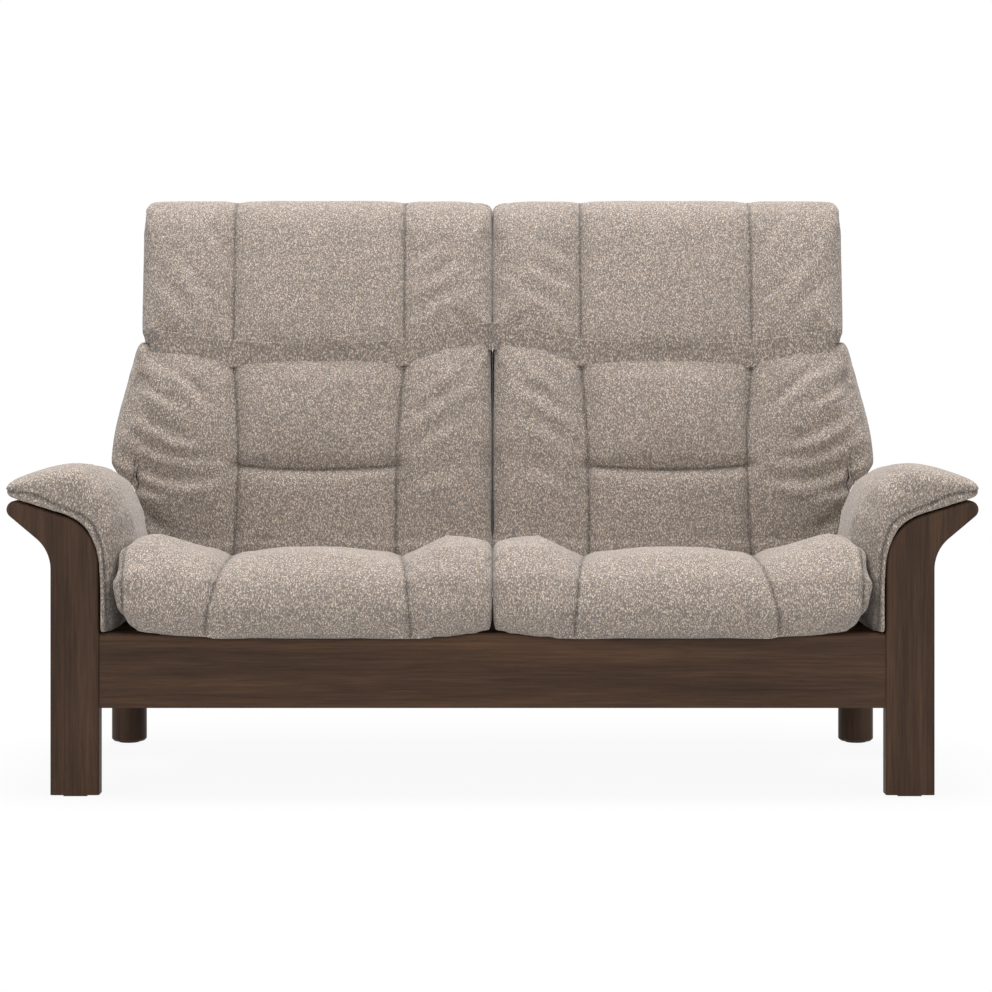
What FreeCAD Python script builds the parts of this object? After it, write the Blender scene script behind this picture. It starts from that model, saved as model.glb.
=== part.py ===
"""High back settee: two reclining seats on a shared wooden base with shaped front posts.

Millimetres. X runs across the settee, Y from front to back and Z up from the floor. The origin is
on the floor under the middle of the settee. Right-hand pieces are modelled and left-hand ones
are their mirror images.
"""
import FreeCAD, Part
import math
import os

import Sketcher

Vector = FreeCAD.Vector

SIZES = {
    # Base: overall places
    "front": -365.0,
    "floor_glide": 3.0,
    "rail_bottom": 150.0,
    "rail_height": 127.0,
    "base_depth": 670.0,
    # Front posts: one board each, leg below and arm front above
    "post_inner": 666.0,
    "post_width": 83.0,
    "post_thick": 32.0,
    "post_round": 5.0,
    "bend_rise": 117.0,
    "bend_inside": 86.0,
    "bend_outside": 68.0,
    "arm_slope": 17.4,
    "underarm_slope": 40.0,
    "underarm_drop": 9.0,
    "nose_round": 14.94,
    # Rails and beams
    "front_rail_thick": 28.0,
    "front_rail_setback": 4.0,
    "rail_round": 8.0,
    "side_rail_inset": 45.0,
    "side_rail_thick": 26.0,
    "rear_rail_thick": 26.0,
    "beam_proud": 7.0,
    "beam_overhang": 7.0,
    "beam_thick": 45.0,
    "beam_height": 94.0,
    "rear_beam_place": 440.0,
    "rear_beam_thick": 26.0,
    "rear_beam_height": 79.0,
    # Rear legs and what fastens them
    "leg_width": 67.0,
    "leg_setback": 1.5,
    "leg_chamfer": 4.0,
    "leg_bolt": 8.0,
    "bolt_clearance": 0.4,
    "bolt_in_leg": 40.0,
    "bolt_spare": 1.0,
    "corner_block": 60.0,
    "corner_block_height": 90.0,
    "nut_across": 13.0,
    "nut_height": 6.5,
    "glide_width": 40.0,
    # Front corner brackets
    "bracket_leaf": 95.0,
    "bracket_thick": 2.5,
    "bracket_height": 70.0,
    "bracket_lift": 30.0,
    # Arms behind the posts
    "arm_end": 600.0,
    "sill_thick": 18.0,
    "shell_thick": 8.0,
    "panel_thick": 10.0,
    "panel_inset": 2.0,
    "panel_skirt": 4.0,
    "rib_thick": 15.0,
    "soft_gap": 0.3,
    # Seat glide: tracks on a slope, shoes inside them
    "glide_slope": 6.0,
    "glide_origin": 60.0,
    "track_inset": 12.5,
    "track_width": 30.0,
    "track_height": 16.0,
    "track_wall": 2.5,
    "track_lip": 5.0,
    "track_start": 2.0,
    "track_length": 408.0,
    "run_gap": 0.3,
    "shoe_length": 50.0,
    "shoe_front": 70.0,
    "shoe_rear": 300.0,
    "frame_lift": 22.0,
    # Seat frame of angle steel
    "frame_inner": 30.0,
    "arm_clearance": 66.0,
    "frame_front": 12.0,
    "frame_behind": 15.0,
    "angle_leg": 25.0,
    "angle_wall": 3.0,
    "spring_wire": 4.0,
    "spring_swing": 46.0,
    "spring_pitch": 38.0,
    "spring_margin": 75.0,
    "lining_thick": 8.0,
    "lining_height": 28.0,
    "lining_drop": 8.0,
    "lining_clearance": 1.5,
    # Recline hinge
    "hinge_back": 480.0,
    "hinge_lift": 16.0,
    "hinge_pin": 10.0,
    "hinge_plate": 5.0,
    "hinge_eye": 12.0,
    "bracket_lap": 60.0,
    "pin_clearance": 0.08,
    "pin_head": 16.0,
    "pin_head_thick": 4.0,
    # Back and head frames
    "back_lean": 11.0,
    "upright_depth": 22.0,
    "upright_gap": 3.0,
    "upright_top": 7.0,
    "upright_flange": 20.0,
    "head_hinge": 479.0,
    "head_pin": 8.0,
    "head_bar": 6.0,
    "head_bar_width": 14.0,
    "head_lean": 16.5,
    "head_step": 40.0,
    "head_rise": 180.0,
    "bar_gap": 1.0,
    "head_tube": 16.0,
    "cross_bar": 30.0,
    "webbing_width": 50.0,
    "webbing_thick": 2.0,
    # Upholstered shells
    "unit_gap": 2.5,
    "shell_clearance": 11.0,
    "shell_wall": 12.0,
    "shell_round": 20.0,
    "shell_low_depth": 118.5,
    "shell_high_depth": 143.0,
    "back_waist": 16.0,
    "crease_drop": 4.2,
    "crease_gap": 7.0,
    "head_height": 273.0,
    "head_depth": 111.6,
    "head_shoulder": 38.0,
    "head_chamfer": 17.4,
    "head_gap": 0.5,
    # Cushions
    "inner_panel": 178.0,
    "outer_panel": 174.0,
    "inner_lobe": 156.0,
    "outer_lobe": 147.0,
    "seat_overlap": 3.0,
    "seat_to_back": 3.0,
    "back_padding": 36.5,
    "cushion_rise": 51.6,
    "roll_reach": 125.0,
    "roll_core": 21.0,
    "roll_behind": 80.0,
    "roll_lift": 30.0,
}
BOLT_SHARE = 0.4
RIB_SHARES = (0.3, 0.65)
BAR_SHARES = (0.14, 0.52, 0.92)
SPRINGS = 4
WEBBING_BANDS = 5
ARC = 0


class Size:
    """A size that knows its value and how the sheet spells it."""

    def __init__(self, value, text):
        self.value = value
        self.text = text

    def _join(self, other, sign, value):
        text = other.text if isinstance(other, Size) else repr(float(other))
        return Size(value, f"({self.text} {sign} {text})")

    def __add__(self, other):
        return self._join(other, "+", self.value + number(other))

    def __sub__(self, other):
        return self._join(other, "-", self.value - number(other))

    def __mul__(self, other):
        return self._join(other, "*", self.value * number(other))

    def __truediv__(self, other):
        return self._join(other, "/", self.value / number(other))

    def __neg__(self):
        return Size(-self.value, f"(0 - {self.text})")


def number(size):
    """The plain value of a size or number."""
    return size.value if isinstance(size, Size) else float(size)


def sine(angle):
    return Size(math.sin(math.radians(angle.value)), f"sin({angle.text})")


def cosine(angle):
    return Size(math.cos(math.radians(angle.value)), f"cos({angle.text})")


def tangent(angle):
    return Size(math.tan(math.radians(angle.value)), f"tan({angle.text})")


doc = FreeCAD.newDocument("high_back_settee")
sheet = doc.addObject("Spreadsheet::Sheet", "Sizes")
for row, (word, amount) in enumerate(SIZES.items(), start=1):
    sheet.set(f"A{row}", word)
    sheet.set(f"B{row}", str(amount))
    sheet.setAlias(f"B{row}", word)
doc.recompute()


class Sheet:
    """Reads the sheet's cells by their names."""

    def __getattr__(self, word):
        return Size(float(getattr(sheet, word)), f"Sizes.{word}")


S = Sheet()
ZERO = S.front - S.front
ONE = ZERO + 1
pieces = []
twins = []


def keep(piece, label, twin=False):
    """Names a finished piece. A twin is also needed on the left."""
    piece.Label = label
    pieces.append(piece)
    if twin:
        twins.append(piece)
    return piece


def bind(thing, **sizes):
    """Ties properties of an object to sizes of the sheet."""
    for prop, size in sizes.items():
        thing.setExpression(prop.replace("__", "."), size.text)


def new_body(name, lean=None, place=None):
    """A body, optionally leaning back about X at a place given as (y, z)."""
    body = doc.addObject("PartDesign::Body", name)
    if place:
        angle = lean.value if lean else 0.0
        rotation = FreeCAD.Rotation(Vector(-1, 0, 0), angle)
        body.Placement = FreeCAD.Placement(Vector(0, place[0].value, place[1].value), rotation)
        bind(body, Placement__Base__y=place[0], Placement__Base__z=place[1])
        if lean:
            bind(body, Placement__Rotation__Angle=lean)
    return body


def add_loop(sketch, corners, arcs):
    """Draws a closed loop of lines and arcs and ties each corner to the sheet.

    arcs maps the number of an edge to (radius, bulge), where bulge is 1 if the arc lies to the
    right of the edge as it is walked, and -1 if it lies to the left.
    """
    first = sketch.GeometryCount
    spots = [Vector(across.value, up.value, 0) for across, up in corners]
    count = len(spots)
    for place, start in enumerate(spots):
        end = spots[(place + 1) % count]
        if place in arcs:
            radius, bulge = arcs[place]
            chord = end - start
            depth = math.sqrt(max(radius.value ** 2 - chord.Length ** 2 / 4, 0.0))
            centre = (start + end) / 2 - Vector(chord.y, -chord.x, 0).normalize() * (depth * bulge)
            begin, finish = (start, end) if bulge > 0 else (end, start)
            angles = [math.atan2(spot.y - centre.y, spot.x - centre.x) for spot in (begin, finish)]
            circle = Part.Circle(centre, Vector(0, 0, 1), radius.value)
            sketch.addGeometry(Part.ArcOfCircle(circle, *angles), False)
        else:
            sketch.addGeometry(Part.LineSegment(start, end), False)
    geometry = sketch.Geometry[first:]
    forward = [(edge.StartPoint - spot).Length < (edge.EndPoint - spot).Length
               for edge, spot in zip(geometry, spots)]
    starts = [1 if ahead else 2 for ahead in forward]
    ends = [2 if ahead else 1 for ahead in forward]
    made = []
    texts = []
    for place, corner in enumerate(corners):
        following = (place + 1) % count
        made.append(Sketcher.Constraint(
            "Coincident", first + place, ends[place], first + following, starts[following]))
        texts.append(None)
        for kind, size in zip(("DistanceX", "DistanceY"), corner):
            made.append(Sketcher.Constraint(kind, -1, 1, first + place, starts[place], size.value))
            texts.append(size.text)
        if place in arcs:
            made.append(Sketcher.Constraint("Radius", first + place, arcs[place][0].value))
            texts.append(arcs[place][0].text)
    tie(sketch, made, texts)


def tie(sketch, constraints, texts):
    """Adds constraints to a sketch and binds those that have a text to the sheet."""
    first = sketch.ConstraintCount
    sketch.addConstraint(constraints)
    for place, text in enumerate(texts, start=first):
        if text:
            sketch.setExpression(f"Constraints[{place}]", text)


def add_circle(sketch, centre, radius):
    """Draws a circle tied to the sheet."""
    middle = Vector(centre[0].value, centre[1].value, 0)
    place = sketch.addGeometry(Part.Circle(middle, Vector(0, 0, 1), radius.value), False)
    made = [Sketcher.Constraint(kind, -1, 1, place, 3, size.value)
            for kind, size in zip(("DistanceX", "DistanceY"), centre)]
    made.append(Sketcher.Constraint("Radius", place, radius.value))
    tie(sketch, made, [centre[0].text, centre[1].text, radius.text])


def new_sketch(body, plane, offset=None):
    """A sketch on one of the body's own planes, moved along the plane's normal by an offset."""
    sketch = body.newObject("Sketcher::SketchObject", f"{body.Name}_outline")
    origin_plane = next(item for item in body.Origin.OriginFeatures if item.Role == plane)
    sketch.AttachmentSupport = [(origin_plane, "")]
    sketch.MapMode = "FlatFace"
    if offset:
        sketch.AttachmentOffset = FreeCAD.Placement(Vector(0, 0, offset.value), FreeCAD.Rotation())
        bind(sketch, AttachmentOffset__Base__z=offset)
    doc.recompute()
    return sketch


def pad(body, sketch, length, reverse=False, midplane=False):
    """Pads a sketch by a size of the sheet."""
    feature = body.newObject("PartDesign::Pad", f"{body.Name}_pad")
    feature.Profile = sketch
    feature.Length = length.value
    bind(feature, Length=length)
    feature.Reversed = reverse
    feature.Midplane = midplane
    sketch.Visibility = False
    doc.recompute()
    return feature


def pocket_through(body, sketch):
    """Cuts a sketch through the whole body, both ways."""
    before = body.Shape.Volume
    feature = body.newObject("PartDesign::Pocket", f"{body.Name}_cut")
    feature.Profile = sketch
    feature.Type = "ThroughAll"
    feature.Midplane = True
    doc.recompute()
    if body.Shape.Volume >= before:
        raise RuntimeError(f"{body.Name}: a pocket cut nothing")
    return feature


def rectangle(left, right, low, high):
    """The corners of a rectangle."""
    return [(left, low), (right, low), (right, high), (left, high)]


def box(name, label, left, right, near, far, low, high, twin=False):
    """A plain block between six sizes."""
    block = doc.addObject("Part::Box", name)
    bind(block, Length=right - left, Width=far - near, Height=high - low,
         Placement__Base__x=left, Placement__Base__y=near, Placement__Base__z=low)
    return keep(block, label, twin) if label else block


def group(label, members, twin=False):
    """Loose solids that share one node."""
    whole = doc.addObject("Part::Compound", label)
    whole.Links = members
    return keep(whole, label, twin)


post_outer = S.post_inner + S.post_width
rail_top = S.rail_bottom + S.rail_height
post_back = S.front + S.post_thick
bend_start = rail_top + S.bend_rise
underarm_start = bend_start - S.underarm_drop
side_rail_inner = S.post_inner + S.side_rail_inset
side_rail_outer = side_rail_inner + S.side_rail_thick
base_back = S.front + S.base_depth
rear_rail_front = base_back - S.rear_rail_thick
arm_back = S.front + S.arm_end
sill_top = rail_top + S.sill_thick
beam_top = rail_top + S.beam_proud
frame_outer = S.post_inner - S.arm_clearance
track_places = (S.frame_inner + S.track_inset, frame_outer - S.track_inset)
glide_y = S.front + S.glide_origin
hinge_y = S.front + S.hinge_back
hinge_z = beam_top + S.hinge_lift
frame_back = hinge_y - glide_y - S.frame_behind


def slope_height(x, offset=ZERO):
    """Height of the arm's upper edge at x, where it slopes, plus a distance square to it."""
    bend_x = S.post_inner + S.bend_inside
    run = x - bend_x
    return bend_start + S.bend_inside / cosine(S.arm_slope) \
        + run * tangent(S.arm_slope) + offset / cosine(S.arm_slope)


def upper_edge(offset, end_x, bottom):
    """Corners up the arm's inner edge, round the bend and out along the slope.

    offset moves the edge outwards from the wood, square to it.
    """
    inner = S.post_inner - offset
    centre_x = S.post_inner + S.bend_inside
    radius = S.bend_inside + offset
    bend_end = (centre_x - radius * sine(S.arm_slope), bend_start + radius * cosine(S.arm_slope))
    corners = [(inner, bottom), (inner, bend_start), bend_end, (end_x, slope_height(end_x, offset))]
    return corners, radius


def lower_edge(offset, end_x, bottom):
    """Corners from the arm's nose down the underarm slope and round to the leg's outer side."""
    outer = post_outer - offset
    centre_x = post_outer + S.bend_outside
    radius = S.bend_outside + offset
    bend = (centre_x - radius * sine(S.underarm_slope),
            underarm_start + radius * cosine(S.underarm_slope))
    nose = (end_x, bend[1] + (end_x - bend[0]) * tangent(S.underarm_slope))
    return [nose, bend, (outer, underarm_start), (outer, bottom)], radius


def underarm_height(x):
    """Height of the underarm slope at x."""
    bend_x = post_outer + S.bend_outside - S.bend_outside * sine(S.underarm_slope)
    bend_z = underarm_start + S.bend_outside * cosine(S.underarm_slope)
    return bend_z + (x - bend_x) * tangent(S.underarm_slope)


nose_spread = tangent(S.arm_slope) + ONE / cosine(S.arm_slope) \
    - tangent(S.underarm_slope) + ONE / cosine(S.underarm_slope)
wedge = slope_height(post_outer) - underarm_height(post_outer)
nose_x = post_outer - S.nose_round + (wedge - S.nose_round * nose_spread) \
    / (tangent(S.underarm_slope) - tangent(S.arm_slope))


def round_edges(body, base, edges, radius):
    """Rounds some edges of the last feature."""
    feature = body.newObject("PartDesign::Fillet", f"{body.Name}_round")
    feature.Base = (base, edges)
    feature.Radius = radius.value
    bind(feature, Radius=radius)
    doc.recompute()
    return feature


def edges_where(shape, test):
    """Names of the edges that pass a test."""
    return [f"Edge{place}" for place, edge in enumerate(shape.Edges, start=1) if test(edge)]


def front_post():
    """A shaped board: straight leg, swept out at the top to carry the arm."""
    body = new_body("right_front_post")
    sketch = new_sketch(body, "XZ_Plane", -S.front)
    above, inside = upper_edge(ZERO, nose_x - S.nose_round * sine(S.arm_slope), S.floor_glide)
    below, outside = lower_edge(ZERO, nose_x + S.nose_round * sine(S.underarm_slope), S.floor_glide)
    add_loop(sketch, above + below, {1: (inside, -1), 3: (S.nose_round, -1), 5: (outside, 1)})
    board = pad(body, sketch, S.post_thick, reverse=True)
    front_y = S.front.value

    def on_face(edge):
        box_of = edge.BoundBox
        flat = box_of.YLength < 1e-3
        return flat and abs(box_of.YMin - front_y) < 1e-3 and box_of.ZLength > 1.0

    round_edges(body, board, edges_where(board.Shape, on_face), S.post_round)
    return keep(body, "right_front_post", twin=True)


def front_rail():
    """The rail between the posts, rounded along its top."""
    body = new_body("front_rail")
    sketch = new_sketch(body, "YZ_Plane")
    near = S.front + S.front_rail_setback
    add_loop(sketch, rectangle(near, near + S.front_rail_thick, S.rail_bottom, rail_top), {})
    board = pad(body, sketch, S.post_inner * 2, midplane=True)
    top = rail_top.value

    def along_top(edge):
        return edge.BoundBox.XLength > 100 and abs(edge.BoundBox.ZMin - top) < 1e-3 \
            and abs(edge.BoundBox.YMin - near.value) < 1e-3

    round_edges(body, board, edges_where(board.Shape, along_top), S.rail_round)
    return keep(body, "front_rail")


def sloped_beam(name, near, thick, half, bottom):
    """A cross beam whose top is planed to the slope of the glide tracks."""
    body = new_body(name)
    sketch = new_sketch(body, "YZ_Plane")
    far = near + thick
    corners = [(near, bottom), (far, bottom), (far, glide_height(far)), (near, glide_height(near))]
    add_loop(sketch, corners, {})
    pad(body, sketch, half * 2, midplane=True)
    return keep(body, name)


def glide_height(y):
    """Height of the glide plane at a given depth."""
    return beam_top - (y - glide_y) * tangent(S.glide_slope)


def base_pieces():
    """Rails, beams, legs and what joins them."""
    front_post()
    front_rail()
    box("right_side_rail", "right_side_rail", side_rail_inner, side_rail_outer,
        post_back, rear_rail_front, S.rail_bottom, rail_top, twin=True)
    box("rear_rail", "rear_rail", -side_rail_outer, side_rail_outer,
        rear_rail_front, base_back, S.rail_bottom, rail_top)
    front_rail_back = S.front + S.front_rail_setback + S.front_rail_thick
    sloped_beam("front_cross_beam", front_rail_back, S.beam_thick, frame_outer + S.beam_overhang,
                beam_top - S.beam_height)
    rear_near = S.front + S.rear_beam_place
    sloped_beam("rear_cross_beam", rear_near, S.rear_beam_thick, side_rail_inner,
                glide_height(rear_near) - S.rear_beam_height)
    rear_corner()
    front_brackets()


def rear_corner():
    """Round rear legs, each bolted up through a corner block."""
    leg_radius = S.leg_width / 2
    leg_x = side_rail_outer - leg_radius
    leg_y = base_back - leg_radius - S.leg_setback
    hole = S.leg_bolt / 2 + S.bolt_clearance / 2
    block_top = S.rail_bottom + S.corner_block_height
    half_block = S.corner_block / 2
    bolt_place = ((side_rail_inner - half_block) * (1 - BOLT_SHARE) + leg_x * BOLT_SHARE,
                  (rear_rail_front - half_block) * (1 - BOLT_SHARE) + leg_y * BOLT_SHARE)

    leg = new_body("right_rear_leg")
    sketch = new_sketch(leg, "XY_Plane", S.floor_glide)
    add_circle(sketch, (leg_x, leg_y), leg_radius)
    turned = pad(leg, sketch, S.rail_bottom - S.floor_glide)
    floor = S.floor_glide.value
    foot = edges_where(turned.Shape, lambda edge: abs(edge.BoundBox.ZMax - floor) < 1e-3)
    chamfer = leg.newObject("PartDesign::Chamfer", "leg_chamfer")
    chamfer.Base = (turned, foot)
    chamfer.Size = S.leg_chamfer.value
    bind(chamfer, Size=S.leg_chamfer)
    doc.recompute()
    cut_sketch = new_sketch(leg, "XY_Plane", S.rail_bottom)
    add_circle(cut_sketch, bolt_place, hole)
    bore = leg.newObject("PartDesign::Pocket", "leg_bore")
    bore.Profile = cut_sketch
    bore_depth = S.bolt_in_leg + S.bolt_spare
    bore.Length = bore_depth.value
    bind(bore, Length=bore_depth)
    doc.recompute()
    keep(leg, "right_rear_leg", twin=True)

    block = new_body("right_corner_block")
    block_sketch = new_sketch(block, "XY_Plane", S.rail_bottom)
    left = side_rail_inner - S.corner_block
    near = rear_rail_front - S.corner_block
    cut_off = S.corner_block / 3
    corners = [(left + cut_off, near), (side_rail_inner, near), (side_rail_inner, rear_rail_front),
               (left, rear_rail_front), (left, near + cut_off)]
    add_loop(block_sketch, corners, {})
    add_circle(block_sketch, bolt_place, hole)
    pad(block, block_sketch, S.corner_block_height)

    bolt = new_body("right_leg_bolt")
    shank_sketch = new_sketch(bolt, "XY_Plane", S.rail_bottom - S.bolt_in_leg)
    add_circle(shank_sketch, bolt_place, S.leg_bolt / 2)
    pad(bolt, shank_sketch, S.bolt_in_leg + S.corner_block_height + S.nut_height + S.leg_bolt / 2)
    nut_sketch = new_sketch(bolt, "XY_Plane", block_top)
    add_loop(nut_sketch, hexagon(bolt_place, S.nut_across / 2), {})
    pad(bolt, nut_sketch, S.nut_height)

    for label, member in (("rear_corner_blocks", block), ("leg_bolts", bolt)):
        other = doc.addObject("Part::Mirroring", f"left_{member.Name}")
        other.Source = member
        other.Normal = (1, 0, 0)
        group(label, [member, other])

    rear_glide = doc.addObject("Part::Cylinder", "rear_floor_glide")
    bind(rear_glide, Radius=S.glide_width / 2, Height=S.floor_glide,
         Placement__Base__x=leg_x, Placement__Base__y=leg_y)
    middle = S.post_inner + S.post_width / 2
    depth = S.post_thick / 2
    near = S.front + depth / 2
    front_glide = box("front_floor_glide", None, middle - S.glide_width / 2, middle + S.glide_width / 2,
                      near, near + depth, ZERO, S.floor_glide)
    members = [rear_glide, front_glide]
    for member in (rear_glide, front_glide):
        other = doc.addObject("Part::Mirroring", f"left_{member.Name}")
        other.Source = member
        other.Normal = (1, 0, 0)
        members.append(other)
    group("floor_glides", members)


def hexagon(middle, half_across):
    """The corners of a hexagon, with two sides level."""
    reach = half_across * (2 / math.sqrt(3))
    return [(middle[0] + reach * across, middle[1] + half_across * up)
            for across, up in ((1, 0), (0.5, 1), (-0.5, 1), (-1, 0), (-0.5, -1), (0.5, -1))]


def front_brackets():
    """Angle brackets that tie the front rail, post and side rail together."""
    body = new_body("right_front_bracket")
    low = S.rail_bottom + S.bracket_lift
    sketch = new_sketch(body, "XY_Plane", low)
    right = side_rail_inner
    near = post_back
    corners = [(right - S.bracket_leaf, near), (right, near), (right, near + S.bracket_leaf),
               (right - S.bracket_thick, near + S.bracket_leaf),
               (right - S.bracket_thick, near + S.bracket_thick),
               (right - S.bracket_leaf, near + S.bracket_thick)]
    add_loop(sketch, corners, {})
    pad(body, sketch, S.bracket_height)
    other = doc.addObject("Part::Mirroring", "left_front_bracket")
    other.Source = body
    other.Normal = (1, 0, 0)
    group("front_corner_brackets", [body, other])


def arm_pieces():
    """Sill, bent shell, ribs and outer panel of an arm, behind the post."""
    box("right_arm_sill", "right_arm_sill", S.post_inner, side_rail_outer,
        post_back, arm_back, rail_top, sill_top, twin=True)
    length = arm_back - post_back
    end_x = nose_x - S.panel_thick

    shell = new_body("right_arm_shell")
    sketch = new_sketch(shell, "XZ_Plane", -post_back)
    outer, large = upper_edge(ZERO, end_x, sill_top)
    inner, small = upper_edge(-S.shell_thick, end_x, sill_top)
    add_loop(sketch, outer + inner[::-1], {1: (large, -1), 5: (small, 1)})
    pad(shell, sketch, length, reverse=True)
    keep(shell, "right_arm_shell", twin=True)

    panel = new_body("right_arm_side_panel")
    sketch = new_sketch(panel, "XZ_Plane", -post_back)
    low = S.rail_bottom - S.panel_skirt
    top_x = nose_x
    outer, large = lower_edge(S.panel_inset, top_x, low)
    inner, small = lower_edge(S.panel_inset + S.panel_thick, top_x, low)
    add_loop(sketch, outer + inner[::-1], {1: (large, 1), 5: (small, -1)})
    pad(panel, sketch, length, reverse=True)
    keep(panel, "right_arm_side_panel", twin=True)

    ribs = new_body("right_arm_ribs")
    for place in [length * share for share in RIB_SHARES] + [length - S.rib_thick]:
        sketch = new_sketch(ribs, "XZ_Plane", -(post_back + place))
        above, inside = upper_edge(-S.shell_thick, end_x - S.panel_thick, sill_top)
        below, outside = lower_edge(S.panel_inset + S.panel_thick, end_x - S.panel_thick, sill_top)
        add_loop(sketch, above + below, {1: (inside, -1), 5: (outside, 1)})
        pad(ribs, sketch, S.rib_thick, reverse=True)
    keep(ribs, "right_arm_ribs", twin=True)


def glide_body(name):
    """A body that lies on the slope of the glide."""
    return new_body(name, S.glide_slope, (glide_y, beam_top))


def seat_metal():
    """Tracks, shoes, frame, springs and lining board of one seat."""
    half = S.track_width / 2
    wall = S.track_wall
    lip = S.track_height - wall
    tracks = glide_body("right_glide_tracks")
    sketch = new_sketch(tracks, "XZ_Plane", S.track_start)
    for middle in track_places:
        left, right = middle - half, middle + half
        corners = [(left, ZERO), (right, ZERO), (right, S.track_height),
                   (right - wall - S.track_lip, S.track_height), (right - wall - S.track_lip, lip),
                   (right - wall, lip), (right - wall, wall), (left + wall, wall), (left + wall, lip),
                   (left + wall + S.track_lip, lip), (left + wall + S.track_lip, S.track_height),
                   (left, S.track_height)]
        add_loop(sketch, corners, {})
    pad(tracks, sketch, S.track_length, reverse=True)
    keep(tracks, "right_glide_tracks", twin=True)

    shoes = glide_body("right_glide_shoes")
    for start in (S.shoe_front, S.shoe_rear):
        sketch = new_sketch(shoes, "XZ_Plane", -start)
        for middle in track_places:
            wide = half - wall - S.run_gap
            narrow = half - wall - S.track_lip - S.run_gap
            shoulder = lip - S.run_gap
            corners = [(middle - wide, wall + S.run_gap), (middle + wide, wall + S.run_gap),
                       (middle + wide, shoulder), (middle + narrow, shoulder),
                       (middle + narrow, S.frame_lift), (middle - narrow, S.frame_lift),
                       (middle - narrow, shoulder), (middle - wide, shoulder)]
            add_loop(sketch, corners, {})
        pad(shoes, sketch, S.shoe_length, reverse=True)
    keep(shoes, "right_glide_shoes", twin=True)

    seat_frame()
    seat_springs()
    lining = glide_body("right_seat_lining")
    sketch = new_sketch(lining, "XZ_Plane", -(S.frame_front - S.lining_thick))
    low, high = S.lining_drop, S.lining_drop + S.lining_height
    notch = S.track_height + S.lining_clearance
    corners = [(S.unit_gap * 2, low)]
    for middle in track_places:
        reach = half + S.lining_clearance
        corners += [(middle - reach, low), (middle - reach, notch),
                    (middle + reach, notch), (middle + reach, low)]
    right = track_places[1] + half + S.lining_thick
    corners += [(right, low), (right, high), (S.unit_gap * 2, high)]
    add_loop(sketch, corners, {})
    pad(lining, sketch, S.lining_thick, reverse=True)
    keep(lining, "right_seat_lining", twin=True)


def seat_frame():
    """A welded rectangle of angle steel that rides on the shoes."""
    low = S.frame_lift
    high = low + S.angle_leg
    wall = S.angle_wall
    body = glide_body("right_seat_frame")
    floor_sketch = new_sketch(body, "XY_Plane", low)
    add_loop(floor_sketch, rectangle(S.frame_inner, frame_outer, S.frame_front, frame_back), {})
    leg = S.angle_leg
    add_loop(floor_sketch, rectangle(S.frame_inner + leg, frame_outer - leg,
                                     S.frame_front + leg, frame_back - leg), {})
    pad(body, floor_sketch, wall)
    rim_sketch = new_sketch(body, "XY_Plane", low + wall)
    add_loop(rim_sketch, rectangle(S.frame_inner, frame_outer, S.frame_front, frame_back), {})
    add_loop(rim_sketch, rectangle(S.frame_inner + wall, frame_outer - wall,
                                   S.frame_front + wall, frame_back - wall), {})
    pad(body, rim_sketch, high - low - wall)
    keep(body, "right_seat_frame", twin=True)


def seat_springs():
    """Sinuous springs from the front to the back of the seat frame."""
    body = glide_body("right_seat_springs")
    turns = int((frame_back.value - S.frame_front.value) / S.spring_pitch.value)
    pitch = (frame_back - S.frame_front) / turns
    first = S.frame_inner + S.spring_margin
    swing = S.spring_swing / 2
    path = [(first, S.frame_front)]
    for turn in range(turns):
        side = swing if turn % 2 == 0 else -swing
        before = first if turn == 0 else first - side
        height = S.frame_front + pitch * (turn + 0.5)
        path.append((before, height))
        path.append((first + side, height))
    path.append((path[-1][0], frame_back))
    sketch = new_sketch(body, "XY_Plane", S.frame_lift + S.angle_leg)
    add_loop(sketch, ribbon(path, S.spring_wire / 2), {})
    wire = pad(body, sketch, S.spring_wire)
    pattern = body.newObject("PartDesign::LinearPattern", "spring_row")
    pattern.Originals = [wire]
    pattern.Direction = (sketch, ["H_Axis"])
    pattern.Occurrences = SPRINGS
    span = frame_outer - S.frame_inner - S.spring_margin * 2
    pattern.Length = span.value
    bind(pattern, Length=span)
    body.Tip = pattern
    doc.recompute()
    keep(body, "right_seat_springs", twin=True)


def ribbon(path, half):
    """The outline of a wire that follows a path of square turns, half a wire to each side."""
    headings = []
    for (x_from, y_from), (x_to, y_to) in zip(path, path[1:]):
        run, climb = x_to.value - x_from.value, y_to.value - y_from.value
        size = max(abs(run), abs(climb))
        headings.append((round(run / size), round(climb / size)))
    left = []
    right = []
    for place, (x_here, y_here) in enumerate(path):
        arriving = headings[max(place - 1, 0)]
        leaving = headings[min(place, len(headings) - 1)]
        turned = arriving != leaving
        across = -arriving[1] - (leaving[1] if turned else 0)
        along = arriving[0] + (leaving[0] if turned else 0)
        left.append((x_here + half * across, y_here + half * along))
        right.append((x_here - half * across, y_here - half * along))
    return left + right[::-1]


unit_middle = (S.frame_inner + frame_outer) / 2
shell_side = S.post_inner - S.shell_clearance
seat_side = frame_outer + S.seat_overlap
head_y = hinge_y + S.head_hinge * sine(S.back_lean)
head_z = hinge_z + S.head_hinge * cosine(S.back_lean)
back_top = head_z - S.crease_drop
head_bottom = back_top + S.crease_gap
head_top = head_bottom + S.head_height
padding_front = S.upright_depth / 2 + S.webbing_thick + S.soft_gap


def frame_plane(z):
    """Depth of the face on which the back cushion lies, at a height."""
    return hinge_y + (z - hinge_z) * tangent(S.back_lean) - padding_front / cosine(S.back_lean)


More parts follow.
